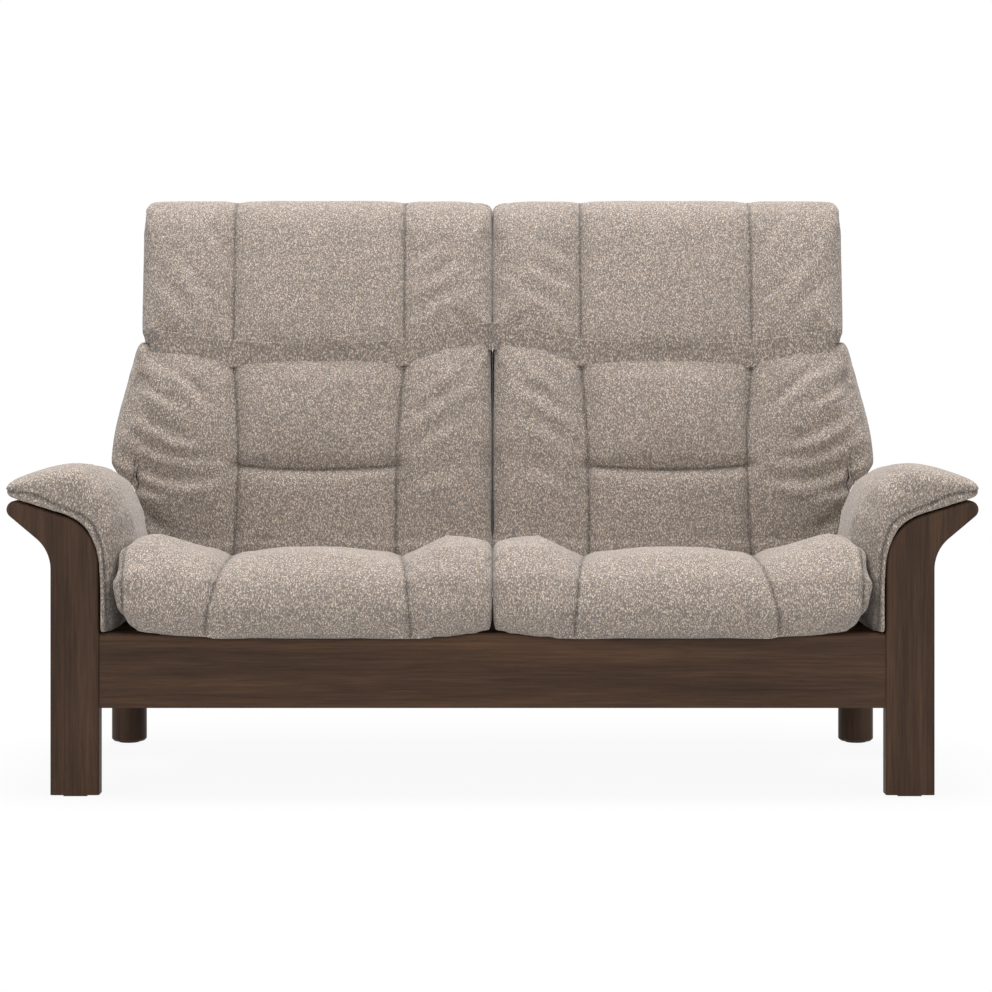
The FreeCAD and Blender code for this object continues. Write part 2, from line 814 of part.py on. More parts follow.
def pin(name, end, face, radius, place, other_side=False):
    """A pin along X with a hexagonal head that bears on a face, at a place given as (y, z)."""
    body = new_body(name)
    if other_side:
        end, face = unit_middle * 2 - end, unit_middle * 2 - face
    shank = new_sketch(body, "YZ_Plane", end)
    add_circle(shank, place, radius)
    pad(body, shank, end - face if other_side else face - end, reverse=other_side)
    head = new_sketch(body, "YZ_Plane", face)
    add_loop(head, hexagon(place, S.pin_head / 2), {})
    pad(body, head, S.pin_head_thick, reverse=other_side)
    return body


def hinge_pieces():
    """Brackets on the seat frame and the pins on which the back turns."""
    eye = S.hinge_eye
    hub_y, hub_z = hinge_y, hinge_z
    reach = S.bracket_lap + S.frame_behind
    brackets = new_body("right_recline_brackets")
    corners = [(hub_y - reach, hub_z - eye * 2.3), (hub_y - eye * 1.5, hub_z - eye * 3),
               (hub_y + eye, hub_z - eye), (hub_y + eye, hub_z + eye / 3), (hub_y + eye / 3, hub_z + eye),
               (hub_y - eye / 3, hub_z + eye), (hub_y - eye, hub_z - eye / 3),
               (hub_y - eye * 2.8, hub_z - eye * 0.8), (hub_y - reach, hub_z - eye * 0.8)]
    for edge, reverse in ((frame_outer, False), (S.frame_inner, True)):
        sketch = new_sketch(brackets, "YZ_Plane", edge)
        add_loop(sketch, corners, {})
        add_circle(sketch, (hub_y, hub_z), S.hinge_pin / 2 + S.pin_clearance)
        pad(brackets, sketch, S.hinge_plate, reverse=reverse)
    keep(brackets, "right_recline_brackets", twin=True)
    end = frame_outer - S.upright_gap - S.angle_wall * 2
    face = frame_outer + S.hinge_plate
    pins = [pin(f"recline_pin_{side}", end, face, S.hinge_pin / 2, (hub_y, hub_z), side == "inner")
            for side in ("outer", "inner")]
    group("right_recline_pins", pins, twin=True)


def lean_body(name):
    """A body that leans back with the back frame, with its origin at the recline hinge."""
    return new_body(name, S.back_lean, (hinge_y, hinge_z))


def back_frame():
    """Two folded steel uprights with cross bars and the webbing stretched over them."""
    half = S.upright_depth / 2
    body = lean_body("right_back_frame")
    sketch = new_sketch(body, "XY_Plane", -half)
    for side in (1, -1):
        edge = frame_outer - S.upright_gap if side == 1 else S.frame_inner + S.upright_gap
        leg = edge - S.angle_wall * side
        flange = edge - S.upright_flange * side
        fold = S.angle_wall - half
        corners = [(edge, -half), (edge, half), (leg, half), (leg, fold), (flange, fold), (flange, -half)]
        add_loop(sketch, corners, {})
    pad(body, sketch, half + S.head_hinge + S.upright_top)
    left = S.frame_inner + S.upright_gap + S.angle_wall / 2
    right = frame_outer - S.upright_gap - S.angle_wall / 2
    bars = new_sketch(body, "XZ_Plane", half - S.angle_wall * 2)
    for share in BAR_SHARES:
        low = S.head_hinge * share
        add_loop(bars, rectangle(left, right, low, low + S.cross_bar), {})
    pad(body, bars, S.angle_wall)
    holes = new_sketch(body, "YZ_Plane")
    add_circle(holes, (ZERO, ZERO), S.hinge_pin / 2 + S.pin_clearance)
    add_circle(holes, (ZERO, S.head_hinge), S.head_pin / 2 + S.pin_clearance)
    pocket_through(body, holes)
    keep(body, "right_back_frame", twin=True)

    webbing = lean_body("right_back_webbing")
    sketch = new_sketch(webbing, "XZ_Plane", half)
    pitch = (S.head_hinge - S.webbing_width) / WEBBING_BANDS
    for band in range(WEBBING_BANDS):
        low = S.webbing_width + pitch * band
        add_loop(sketch, rectangle(left, right, low, low + S.webbing_width), {})
    pad(webbing, sketch, S.webbing_thick)
    keep(webbing, "right_back_webbing", twin=True)


def head_frame():
    """Two bent bars joined by a tube, and the pins on which they tilt."""
    width = S.head_bar_width / 2
    rise_y, rise_z = S.head_rise * sine(S.head_lean), S.head_rise * cosine(S.head_lean)
    step = S.head_step
    corners = [(head_y - width, head_z - width), (head_y + width, head_z - width),
               (head_y + step + width, head_z + step - width),
               (head_y + step + width + rise_y, head_z + step - width + rise_z),
               (head_y + step - width + rise_y, head_z + step + width / 2 + rise_z),
               (head_y + step - width, head_z + step + width / 2), (head_y - width, head_z + width / 3)]
    body = new_body("right_head_frame")
    outer = frame_outer - S.upright_gap + S.bar_gap
    inner = S.frame_inner + S.upright_gap - S.bar_gap
    for edge, reverse in ((outer, False), (inner, True)):
        sketch = new_sketch(body, "YZ_Plane", edge)
        add_loop(sketch, corners, {})
        add_circle(sketch, (head_y, head_z), S.head_pin / 2 + S.pin_clearance)
        pad(body, sketch, S.head_bar, reverse=reverse)
    tube = new_sketch(body, "YZ_Plane", inner)
    down = S.head_tube
    add_circle(tube, (head_y + step + rise_y - down * sine(S.head_lean),
                      head_z + step + rise_z - down), S.head_tube / 2)
    pad(body, tube, outer - inner)
    keep(body, "right_head_frame", twin=True)
    end = frame_outer - S.upright_gap - S.angle_wall * 2
    face = outer + S.head_bar
    pins = [pin(f"head_pin_{side}", end, face, S.head_pin / 2, (head_y, head_z), side == "inner")
            for side in ("outer", "inner")]
    group("right_head_pivot_pins", pins, twin=True)


def hollow_shell(name, outside, inside):
    """An upholstered board shell: a rear wall and two sides, hollow towards the cushion."""
    left = S.unit_gap * 2
    body = new_body(name)
    sketch = new_sketch(body, "YZ_Plane", left)
    add_loop(sketch, outside, {})
    solid = pad(body, sketch, shell_side - left)
    front_edge = max(outside[0][0].value, outside[-1][0].value) + 1.0

    def down_the_back(edge):
        level = edge.BoundBox
        return level.XLength < 1e-3 and level.YMax > front_edge and level.YMin > outside[0][0].value + 1.0

    round_edges(body, solid, edges_where(solid.Shape, down_the_back), S.shell_round)
    before = body.Shape.Volume
    width = shell_side - left - S.shell_wall * 2
    cut_sketch = new_sketch(body, "YZ_Plane", left + S.shell_wall)
    add_loop(cut_sketch, inside, {})
    cut = body.newObject("PartDesign::Pocket", f"{name}_hollow")
    cut.Profile = cut_sketch
    cut.Reversed = True
    cut.Length = width.value
    bind(cut, Length=width)
    doc.recompute()
    if body.Shape.Volume > before * 0.7:
        raise RuntimeError(f"{name}: the hollow is missing")
    return keep(body, name, twin=True)


def shells():
    """Rear shells of the back and of the head."""
    wall = S.shell_wall
    low, high = hinge_z, back_top
    rear_low, rear_high = frame_plane(low) + S.shell_low_depth, frame_plane(high) + S.shell_high_depth
    waist_y, waist_z = (rear_low + rear_high) / 2 - S.back_waist, (low + high) / 2
    outside = [(frame_plane(low), low), (rear_low, low), (waist_y, waist_z), (rear_high, high),
               (frame_plane(high), high)]
    inside = [(frame_plane(low) - wall, low - wall), (rear_low - wall, low - wall),
              (waist_y - wall, waist_z), (rear_high - wall, high + wall),
              (frame_plane(high) - wall, high + wall)]
    hollow_shell("right_back_shell", outside, inside)

    low, high = head_bottom, head_top
    shoulder = S.head_shoulder
    rear_low, rear_high = rear_high, head_plane(high - shoulder) + S.head_depth
    outside = [(head_plane(low), low), (rear_low, low), (rear_high, high - shoulder),
               (rear_high - shoulder, high), (head_plane(high), high)]
    inside = [(head_plane(low) - wall, low - wall), (rear_low - wall, low - wall),
              (rear_high - wall, high - shoulder), (rear_high - shoulder - wall / 2, high - wall),
              (head_plane(high) - wall, high - wall)]
    hollow_shell("right_head_shell", outside, inside)


def head_plane(z):
    """Depth of the face on which the head cushion lies, at a height."""
    face_y = head_y + S.head_step - S.head_bar_width / 2
    face_z = head_z + S.head_step + S.head_bar_width / 4
    return face_y + (z - face_z) * tangent(S.head_lean)


def closed_wire(start, steps, place):
    """A closed wire of steps to an end point. (end) is a line and (middle, end, count) an arc through
    both, drawn as so many chords, or as the arc itself where the count is ARC."""
    edges = []
    here = place(*start)
    for step in steps:
        if len(step) == 1:
            stops = [place(*step[0])]
        else:
            middle, end, count = place(*step[0]), place(*step[1]), step[2]
            arc = Part.Arc(here, middle, end)
            stops = arc.discretize(count + 1)[1:-1] + [end] if count else []
            if not count:
                edges.append(arc.toShape())
                here = end
        for stop in stops:
            edges.append(Part.makeLine(here, stop))
            here = stop
    return Part.Wire(edges)


def lofted(wires):
    """A solid through a row of closed wires."""
    solid = Part.makeLoft(wires, True, True)
    if solid.Volume < 0:
        solid.reverse()
    return solid


def soft_piece(label, solid):
    """An upholstered piece whose shape comes from lofts."""
    piece = doc.addObject("Part::Feature", label)
    piece.Shape = solid
    piece.Placement = FreeCAD.Placement()
    return keep(piece, label, twin=True)


def seat_cushion():
    """A cushion with two soft channels, rolled down over the front of the seat frame."""
    side = seat_side.value
    edge = S.unit_gap.value
    inner, outer = S.inner_lobe.value, side - S.outer_lobe.value
    core = S.roll_core.value
    reach = S.roll_reach.value
    front = S.front.value
    crest_in = S.outer_lobe.value * 0.36

    def section(depth, height, angle, widen, edge_in, lobe, valley, centre, crest, end):
        """Sizes of the lobes as shares of the roll's reach, along a ray at an angle."""
        turn = math.radians(angle)

        def place(across, out):
            return Vector(across, front + depth + out * math.cos(turn), height + out * math.sin(turn))

        wide = side + widen * reach
        crest_at = wide - crest_in
        edge_in, lobe, valley, centre, crest, end = (
            reach * share for share in (edge_in, lobe, valley, centre, crest, end))
        shoulder = ((outer + crest_at) / 2, (valley + crest) / 2 + core * 0.4)
        steps = [((edge, edge_in),),
                 ((inner * 0.3, lobe), (inner, valley), 2),
                 (((inner + outer) / 2, centre), (outer, valley), 3),
                 (shoulder, (crest_at, crest), 1),
                 ((wide - crest_in * 0.27, (crest * 2 + end) / 3), (wide, end), 2),
                 ((side - S.seat_overlap.value, core),), ((edge, core),)]
        return closed_wire((edge, core), steps, place)

    wires = []
    slope = math.tan(math.radians(S.glide_slope.value))
    behind = S.roll_behind.value
    rear = frame_plane(hinge_z).value - front - S.back_padding.value - S.seat_to_back.value
    for share, thin in ((1.0, 0.176), (0.5, 0.064)):
        depth = behind + (rear - behind) * share
        under = beam_top.value - (depth + front - glide_y.value) * slope + S.cushion_rise.value
        wires.append(section(depth, under - core, 90, 0, 0.888 - thin, 0.984 - thin, 0.84 - thin / 2,
                             0.904 - thin, 1 - thin, 0.76 - thin))
    height = beam_top.value + S.roll_lift.value
    for angle, widen, shares in (
            (90, 0, (0.90, 0.984, 0.69, 0.832, 1, 0.736)),
            (119, 0.13, (0.90, 0.984, 0.76, 0.885, 1, 0.74)),
            (148, 0.29, (0.88, 0.968, 0.85, 0.93, 1, 0.775)),
            (178, 0.335, (0.82, 0.93, 0.89, 0.95, 0.955, 0.735)),
            (206.5, 0.19, (0.576, 0.704, 0.768, 0.80, 0.72, 0.512))):
        wires.append(section(behind, height, angle, widen, *shares))
    soft_piece("right_seat_cushion", lofted(wires))


def arm_pad():
    """The thick arm pad, which follows the bent shell below and thins out behind."""
    gap = S.soft_gap
    under, radius = upper_edge(gap, nose_x, rail_top + gap)
    foot, bend, bend_end, tip = [(number(x), number(z)) for x, z in under]
    centre = (S.post_inner.value + S.bend_inside.value, bend_start.value)
    up_slope = math.radians(90 + S.arm_slope.value)
    half_way = (math.pi + up_slope) / 2
    front = S.front.value

    def around(angle, out):
        """A point so far outside the bend, at an angle about its centre."""
        reach = radius.value + out
        return centre[0] + reach * math.cos(angle), centre[1] + reach * math.sin(angle)

    def section(depth, at_foot, at_bend, half_bend, at_slope, tip_out, tip_up):
        """Thicknesses square to the wood along the way from the foot to the tip."""
        def place(across, up):
            return Vector(across, front + depth, up)

        crown = around(up_slope, at_slope)
        end = (tip[0] + tip_out * 0.3, tip[1] + tip_up)
        top = ((end[0] + crown[0]) / 2, (end[1] + crown[1]) / 2 + tip_out * 0.5)
        waist = ((bend[0] + foot[0] - at_bend - at_foot) / 2 - tip_out * 0.2, (bend[1] + foot[1]) / 2)
        steps = [(bend,), (around(half_way, 0), bend_end, ARC), (tip,),
                 ((tip[0] + tip_out, tip[1] + tip_up * 0.35), end, 2), (top, crown, 2),
                 (around(half_way, half_bend), (bend[0] - at_bend, bend[1]), 3),
                 (waist, (foot[0] - at_foot, foot[1]), 1), (foot,)]
        return closed_wire(foot, steps, place)

    end_depth = S.arm_end.value
    wires = [section(depth, *thicknesses) for depth, *thicknesses in (
        (-10, 6, 9, 40, 62, 6, 22), (0, 10, 16, 58, 82, 11, 31), (30, 16, 34, 74, 92, 12, 34),
        (80, 20, 56, 87, 94, 12, 34), (end_depth * 0.48, 18, 50, 76, 79, 12, 30),
        (end_depth * 0.64, 4.5, 5, 20, 33, 11, 24), (end_depth, 4.5, 4.8, 15, 17, 10, 22))]
    soft_piece("right_arm_pad", lofted(wires))


def panelled(z, face, rear, puff, inner_round, outer_round, side, wrap=None):
    """A level section of a back or head cushion: three puffed panels between two seams.

    wrap is the depth to which the outer panel wraps the shell's side.
    """
    edge = S.unit_gap.value
    one, two = S.inner_panel.value, shell_side.value - S.outer_panel.value
    fall = face + 2

    def place(across, depth):
        return Vector(across, depth, z)

    start = (edge, face + inner_round * 0.8)
    steps = [((edge + inner_round * 0.8, face),),
             ((one * 0.6, face - puff * 0.5), (one, face + puff * 0.6), 2),
             (((one + two) / 2, face - puff), (two, face + puff * 0.6), 3),
             (((two + side) / 2, face - puff * 0.5), (side - outer_round, fall), 2),
             ((side - outer_round * 0.27, fall + outer_round * 0.3), (side, fall + outer_round), 2)]
    if wrap:
        inside = shell_side.value + S.soft_gap.value
        steps += [((side, wrap - (side - inside) * 0.4),), ((inside, wrap),), ((inside, rear),)]
    else:
        steps.append(((side, rear),))
    return closed_wire(start, steps + [((edge, rear),), (start,)], place)


def back_cushion():
    """The back cushion: three panels with sewn channels, and a wing that wraps the shell's side
    above the arm."""
    low, high = hinge_z.value, back_top.value
    side = shell_side.value

    def level(share, thick, *rest):
        """A section at a share of the height, so thick in front of the frame."""
        z = low + (high - low) * share
        rear = frame_plane(Size(z, str(z))).value
        return z, rear - thick, rear, *rest

    lower = [panelled(*level(*station), side + S.soft_gap.value) for station in (
        (0.0, S.back_padding.value, 2, 18, 18), (0.215, 41, 8, 22, 22), (0.43, 45, 9, 24, 22),
        (0.5, 43.5, 5, 24, 20))]
    upper = []
    for share, thick, puff, inner_round, outer_round, out, wrap in (
            (0.5, 43.5, 5, 24, 20, 43, 94), (0.528, 44.5, 5, 24, 24, 61, 112),
            (0.612, 46.5, 9, 24, 26, 56, 130), (0.73, 43, 10, 24, 26, 44, 124),
            (0.9, 37, 9, 22, 22, 24, 127), (0.98, 25.5, 6, 18, 14, 16, 134), (1.0, 11, 3, 8, 8, 12, 134)):
        z, face, rear, *rest = level(share, thick, puff, inner_round, outer_round)
        upper.append(panelled(z, face, rear, *rest, side + out, rear + wrap))
    body = lofted(lower).fuse(lofted(upper)).removeSplitter()
    soft_piece("right_back_cushion", body)


def head_cushion():
    """The head cushion, rounded under at the seam and over at the top."""
    low, height = head_bottom.value, S.head_height.value
    side = shell_side.value
    wires = []
    for share, thick, puff, out, soft in (
            (0.0, 47, 2, 0, 5), (0.022, 55, 4, 8, 12), (0.084, 65, 6, 11, 18), (0.172, 66, 8, 12, 22),
            (0.465, 64, 9, 14, 22), (0.83, 57.5, 8, 18, 22), (0.941, 46.5, 5, 18, 18),
            (0.993, 28.5, 3, 9, 10), (1.011, 14, 1, -3, 6)):
        z = low + height * share
        plane = head_plane(Size(z, str(z))).value
        rear = min(plane - S.head_gap.value, head_y.value - S.head_chamfer.value + z - low)
        wires.append(panelled(z, plane - thick, rear, puff, soft, soft, side + out))
    soft_piece("right_head_cushion", lofted(wires))


def mirror_twins():
    """Left-hand pieces, mirrored across the middle of the settee."""
    for piece in list(twins):
        label = piece.Label.replace("right_", "left_", 1)
        other = doc.addObject("Part::Mirroring", label)
        other.Source = piece
        other.Normal = (1, 0, 0)
        keep(other, label)


def check_and_export():
    """Stops on any failed object, then writes one STEP file for each piece."""
    doc.recompute()
    for thing in doc.Objects:
        if "Invalid" in thing.State or "Error" in thing.State:
            raise RuntimeError(f"{thing.Name} failed: {thing.State}")
    os.makedirs("parts", exist_ok=True)
    for piece in pieces:
        if piece.Shape.isNull() or not piece.Shape.isValid() or not piece.Shape.Solids:
            raise RuntimeError(f"{piece.Label} has no valid solid")
    for piece in pieces:
        piece.Shape.exportStep(f"parts/{piece.Label}.step")
    print(f"{len(pieces)} pieces written")


def main():
    base_pieces()
    arm_pieces()
    seat_metal()
    hinge_pieces()
    back_frame()
    head_frame()
    shells()
    seat_cushion()
    arm_pad()
    back_cushion()
    head_cushion()
    mirror_twins()
    check_and_export()


main()
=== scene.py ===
"""High back settee: the finished look of two reclining seats on a dark stained base.

Metres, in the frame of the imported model: X across the settee, Y from front to back, Z up.
"""
import logging
import math
from dataclasses import Field, dataclass, field
from enum import Enum

import bpy
import numpy as np
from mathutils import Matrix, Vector


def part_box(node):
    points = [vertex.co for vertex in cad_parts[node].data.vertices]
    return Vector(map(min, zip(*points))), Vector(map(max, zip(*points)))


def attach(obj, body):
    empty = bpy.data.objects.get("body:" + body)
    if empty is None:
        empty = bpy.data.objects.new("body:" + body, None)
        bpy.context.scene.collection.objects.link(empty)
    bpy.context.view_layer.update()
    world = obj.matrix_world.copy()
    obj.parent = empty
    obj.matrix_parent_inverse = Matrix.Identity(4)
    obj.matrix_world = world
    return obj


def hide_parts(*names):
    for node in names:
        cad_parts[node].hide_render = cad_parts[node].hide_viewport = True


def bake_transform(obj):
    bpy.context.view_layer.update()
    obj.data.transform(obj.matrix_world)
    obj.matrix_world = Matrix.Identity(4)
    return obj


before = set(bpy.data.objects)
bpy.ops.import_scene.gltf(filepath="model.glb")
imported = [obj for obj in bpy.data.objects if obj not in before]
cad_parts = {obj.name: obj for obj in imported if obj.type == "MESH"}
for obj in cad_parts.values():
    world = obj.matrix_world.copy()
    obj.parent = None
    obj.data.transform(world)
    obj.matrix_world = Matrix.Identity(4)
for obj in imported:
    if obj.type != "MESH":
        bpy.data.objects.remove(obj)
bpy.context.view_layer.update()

IMAGE_SIDE = 992
Material = bpy.types.Material
Object = bpy.types.Object
Colour = tuple[float, float, float]
Place = tuple[float, float, float]
Line = tuple[tuple[float, float], ...]
Span = tuple[float, float]

log = logging.getLogger("settee")

# Sewing: a stitched line is a narrow groove inside its wider crease.
STITCH_WIDTH = 0.0028
STITCH_DEPTH = 0.0015
CREASE_REACH = 4.0  # how far out a crease is worked, in widths
CREASE_RIM = 1.6  # where the cloth beside it stands highest, in widths
CREASE_ENDS = (0.02, 0.98)
CREASE_FADE = 0.7

# Stuffing: cloth with less room than this is held, and each cushion stops just short of its twin.
HELD_ROOM = 0.0004
MIDDLE_GAP = 0.00015
CLOTH_QUALITY = 3  # steps of the solver in each frame

# How far a normal must lean for the cloth there to count as turned that way: not at all, fully.
BACKWARDS = (0.35, 0.75)
OUTWARDS = (0.35, 0.75)
UPWARDS = (0.50, 0.90)
DOWNWARDS = (0.45, 0.80)
SIDEWAYS = (0.60, 0.90)
END_ON = (0.50, 0.85)
UNSEEN_BEHIND = (0.30, 0.70)
UNSEEN_BELOW = (0.60, 0.90)

# The neck, where each back cushion meets its head cushion: its level, the spots between which cloth turns
# from the back to the head, its lean, and half of the seam as (x, z).
NECK_LEVEL = 0.7695
NECK_LEAN = math.tan(math.radians(13.0))
NECK_SEAM = ((-0.17, 0.749), (0.001, 0.782), (0.169, 0.751), (0.328, 0.743), (0.491, 0.749), (0.665, 0.773),
             (0.75, 0.79))

# Slow unevenness of stuffed cloth: waves as (radians to the metre along x, y and z), phase.
RIPPLES = (((31.0, 5.0, 23.0), 0.3), ((-19.0, 11.0, 37.0), 1.9), ((47.0, 9.0, -29.0), 4.1),
           ((13.0, -21.0, 53.0), 2.7), ((71.0, 17.0, 11.0), 5.3))

# Sockets of the Mix node when it mixes colours.
MIX_SHARE, MIX_FIRST, MIX_SECOND, MIX_RESULT = 0, 6, 7, 2


class Look(Enum):
    """How a spot is laid flat, so that a line can be drawn on the cloth: as a matrix on (x, y, z)."""

    FRONT = ((1.0, 0.0), (0.0, 0.0), (0.0, 1.0))
    OVER = ((1.0, 0.0), (0.0, 1.0), (0.0, 1.0))


class Grain(Enum):
    """The way that wood grain runs on a board."""

    UPRIGHT = (1.0, 1.0, 0.045)
    ACROSS = (0.045, 1.0, 1.0)
    FRONT_TO_BACK = (1.0, 0.045, 1.0)


class Socket:
    """One output of a node, or a plain number, on which sums can be written."""

    def __init__(self, tree: bpy.types.NodeTree, value: "bpy.types.NodeSocket | float") -> None:
        """Keeps the tree and the output."""
        self.tree = tree
        self.value = value

    def _sum(self, operation: str, first: object, second: object) -> "Socket":
        """Adds a Math node.

        Args:
            operation: name of the sum.
            first: first term.
            second: second term.

        Returns:
            The node's output.
        """
        node = self.tree.nodes.new("ShaderNodeMath")
        node.operation = operation
        for place, term in enumerate((first, second)):
            plug(self.tree, node.inputs[place], term)
        return Socket(self.tree, node.outputs[0])

    def __add__(self, other: object) -> "Socket":
        """Adds."""
        return self._sum("ADD", self, other)

    def __radd__(self, other: object) -> "Socket":
        """Adds, with the number first."""
        return self._sum("ADD", other, self)

    def __sub__(self, other: object) -> "Socket":
        """Takes away."""
        return self._sum("SUBTRACT", self, other)

    def __rsub__(self, other: object) -> "Socket":
        """Takes away from a number."""
        return self._sum("SUBTRACT", other, self)

    def __mul__(self, other: object) -> "Socket":
        """Multiplies."""
        return self._sum("MULTIPLY", self, other)

    def __truediv__(self, other: object) -> "Socket":
        """Divides."""
        return self._sum("DIVIDE", self, other)

    def __gt__(self, other: object) -> "Socket":
        """One where it is greater, and nought elsewhere."""
        return self._sum("GREATER_THAN", self, other)


def seen_directly(tree: bpy.types.NodeTree) -> Socket:
    """One where the camera looks at a thing, straight, mirrored or through glass, and nought elsewhere."""
    ray = tree.nodes.new("ShaderNodeLightPath")
    camera, mirror, glass = (Socket(tree, ray.outputs[f"Is {kind} Ray"])
                             for kind in ("Camera", "Glossy", "Transmission"))
    return (camera + mirror + glass) > 0.5


def shade_of(colour: Colour, share: float) -> Colour:
    """A darker or lighter shade of a colour."""
    return tuple(part * share for part in colour)


def plug(tree: bpy.types.NodeTree, target: bpy.types.NodeSocket, source: object) -> None:
    """Links an output to an input, or sets the input to a number or colour.

    Args:
        tree: tree that holds both.
        target: input socket.
        source: a Socket, a number or a tuple.
    """
    value = source.value if isinstance(source, Socket) else source
    if isinstance(value, bpy.types.NodeSocket):
        tree.links.new(value, target)
    elif isinstance(value, tuple) and len(value) == 3 and target.type == "RGBA":
        target.default_value = (*value, 1.0)
    else:
        target.default_value = value


class Finish:
    """A material under construction."""

    def __init__(self, name: str) -> None:
        """Starts an empty material with one surface shader."""
        self.material = bpy.data.materials.new(name)
        self.material.use_nodes = True
        self.tree = self.material.node_tree
        self.shader = self.tree.nodes["Principled BSDF"]
        self.place = self.node("ShaderNodeTexCoord", {}, {}, "Object")

    def node(self, kind: str, settings: dict[str, object], inputs: dict[object, object],
             output: object = 0) -> Socket:
        """Adds any node.

        Args:
            kind: the node's type.
            settings: properties that are set first. "stops" fills a colour ramp.
            inputs: values or links of its sockets, by name or number.
            output: the output that is wanted, by name or number.

        Returns:
            That output.
        """
        made = self.tree.nodes.new(kind)
        for word, value in settings.items():
            if word == "stops":
                self._fill_ramp(made.color_ramp, value)
            else:
                setattr(made, word, value)
        for word, value in inputs.items():
            plug(self.tree, made.inputs[word], value)
        return Socket(self.tree, made.outputs[output])

    @staticmethod
    def _fill_ramp(ramp: bpy.types.ColorRamp, stops: list[tuple[float, Colour]]) -> None:
        """Sets a ramp's stops."""
        while len(ramp.elements) < len(stops):
            ramp.elements.new(0.5)
        for element, (place, colour) in zip(ramp.elements, stops):
            element.position = place
            element.color = (*colour, 1.0)

    def scaled(self, scale: tuple[float, float, float]) -> Socket:
        """The place on the piece, stretched along the axes."""
        return self.node("ShaderNodeMapping", {}, {"Vector": self.place, "Scale": scale})

    def noise(self, scale: float, where: "Socket | None" = None, detail: float = 2.0,
              output: str = "Fac") -> Socket:
        """Smooth noise with so many bumps to the metre."""
        return self.node("ShaderNodeTexNoise", {}, {
            "Vector": where or self.place, "Scale": scale, "Detail": detail}, output)

    def ramp(self, source: Socket, stops: list[tuple[float, Colour]]) -> Socket:
        """Colours along a number."""
        return self.node("ShaderNodeValToRGB", {"stops": stops}, {"Fac": source}, "Color")

    def mix(self, share: object, first: object, second: object, blend: str = "MIX") -> Socket:
        """Mixes two colours."""
        made = self.tree.nodes.new("ShaderNodeMix")
        made.data_type = "RGBA"
        made.blend_type = blend
        for place, term in ((MIX_SHARE, share), (MIX_FIRST, first), (MIX_SECOND, second)):
            plug(self.tree, made.inputs[place], term)
        return Socket(self.tree, made.outputs[MIX_RESULT])

    def clamp(self, value: Socket) -> Socket:
        """Keeps a number between nought and one."""
        return self.node("ShaderNodeClamp", {}, {"Value": value})

    def bump(self, height: Socket, distance: float) -> Socket:
        """Turns a height in shares of a distance into a normal."""
        return self.node("ShaderNodeBump", {}, {
            "Height": height, "Distance": distance, "Strength": 1.0}, "Normal")

    def surface(self, **sockets: object) -> Material:
        """Fills the shader's sockets.

        Args:
            sockets: values by socket name, with _ for a space.

        Returns:
            The finished material.
        """
        for word, value in sockets.items():
            plug(self.tree, self.shader.inputs[word.replace("_", " ")], value)
        return self.material


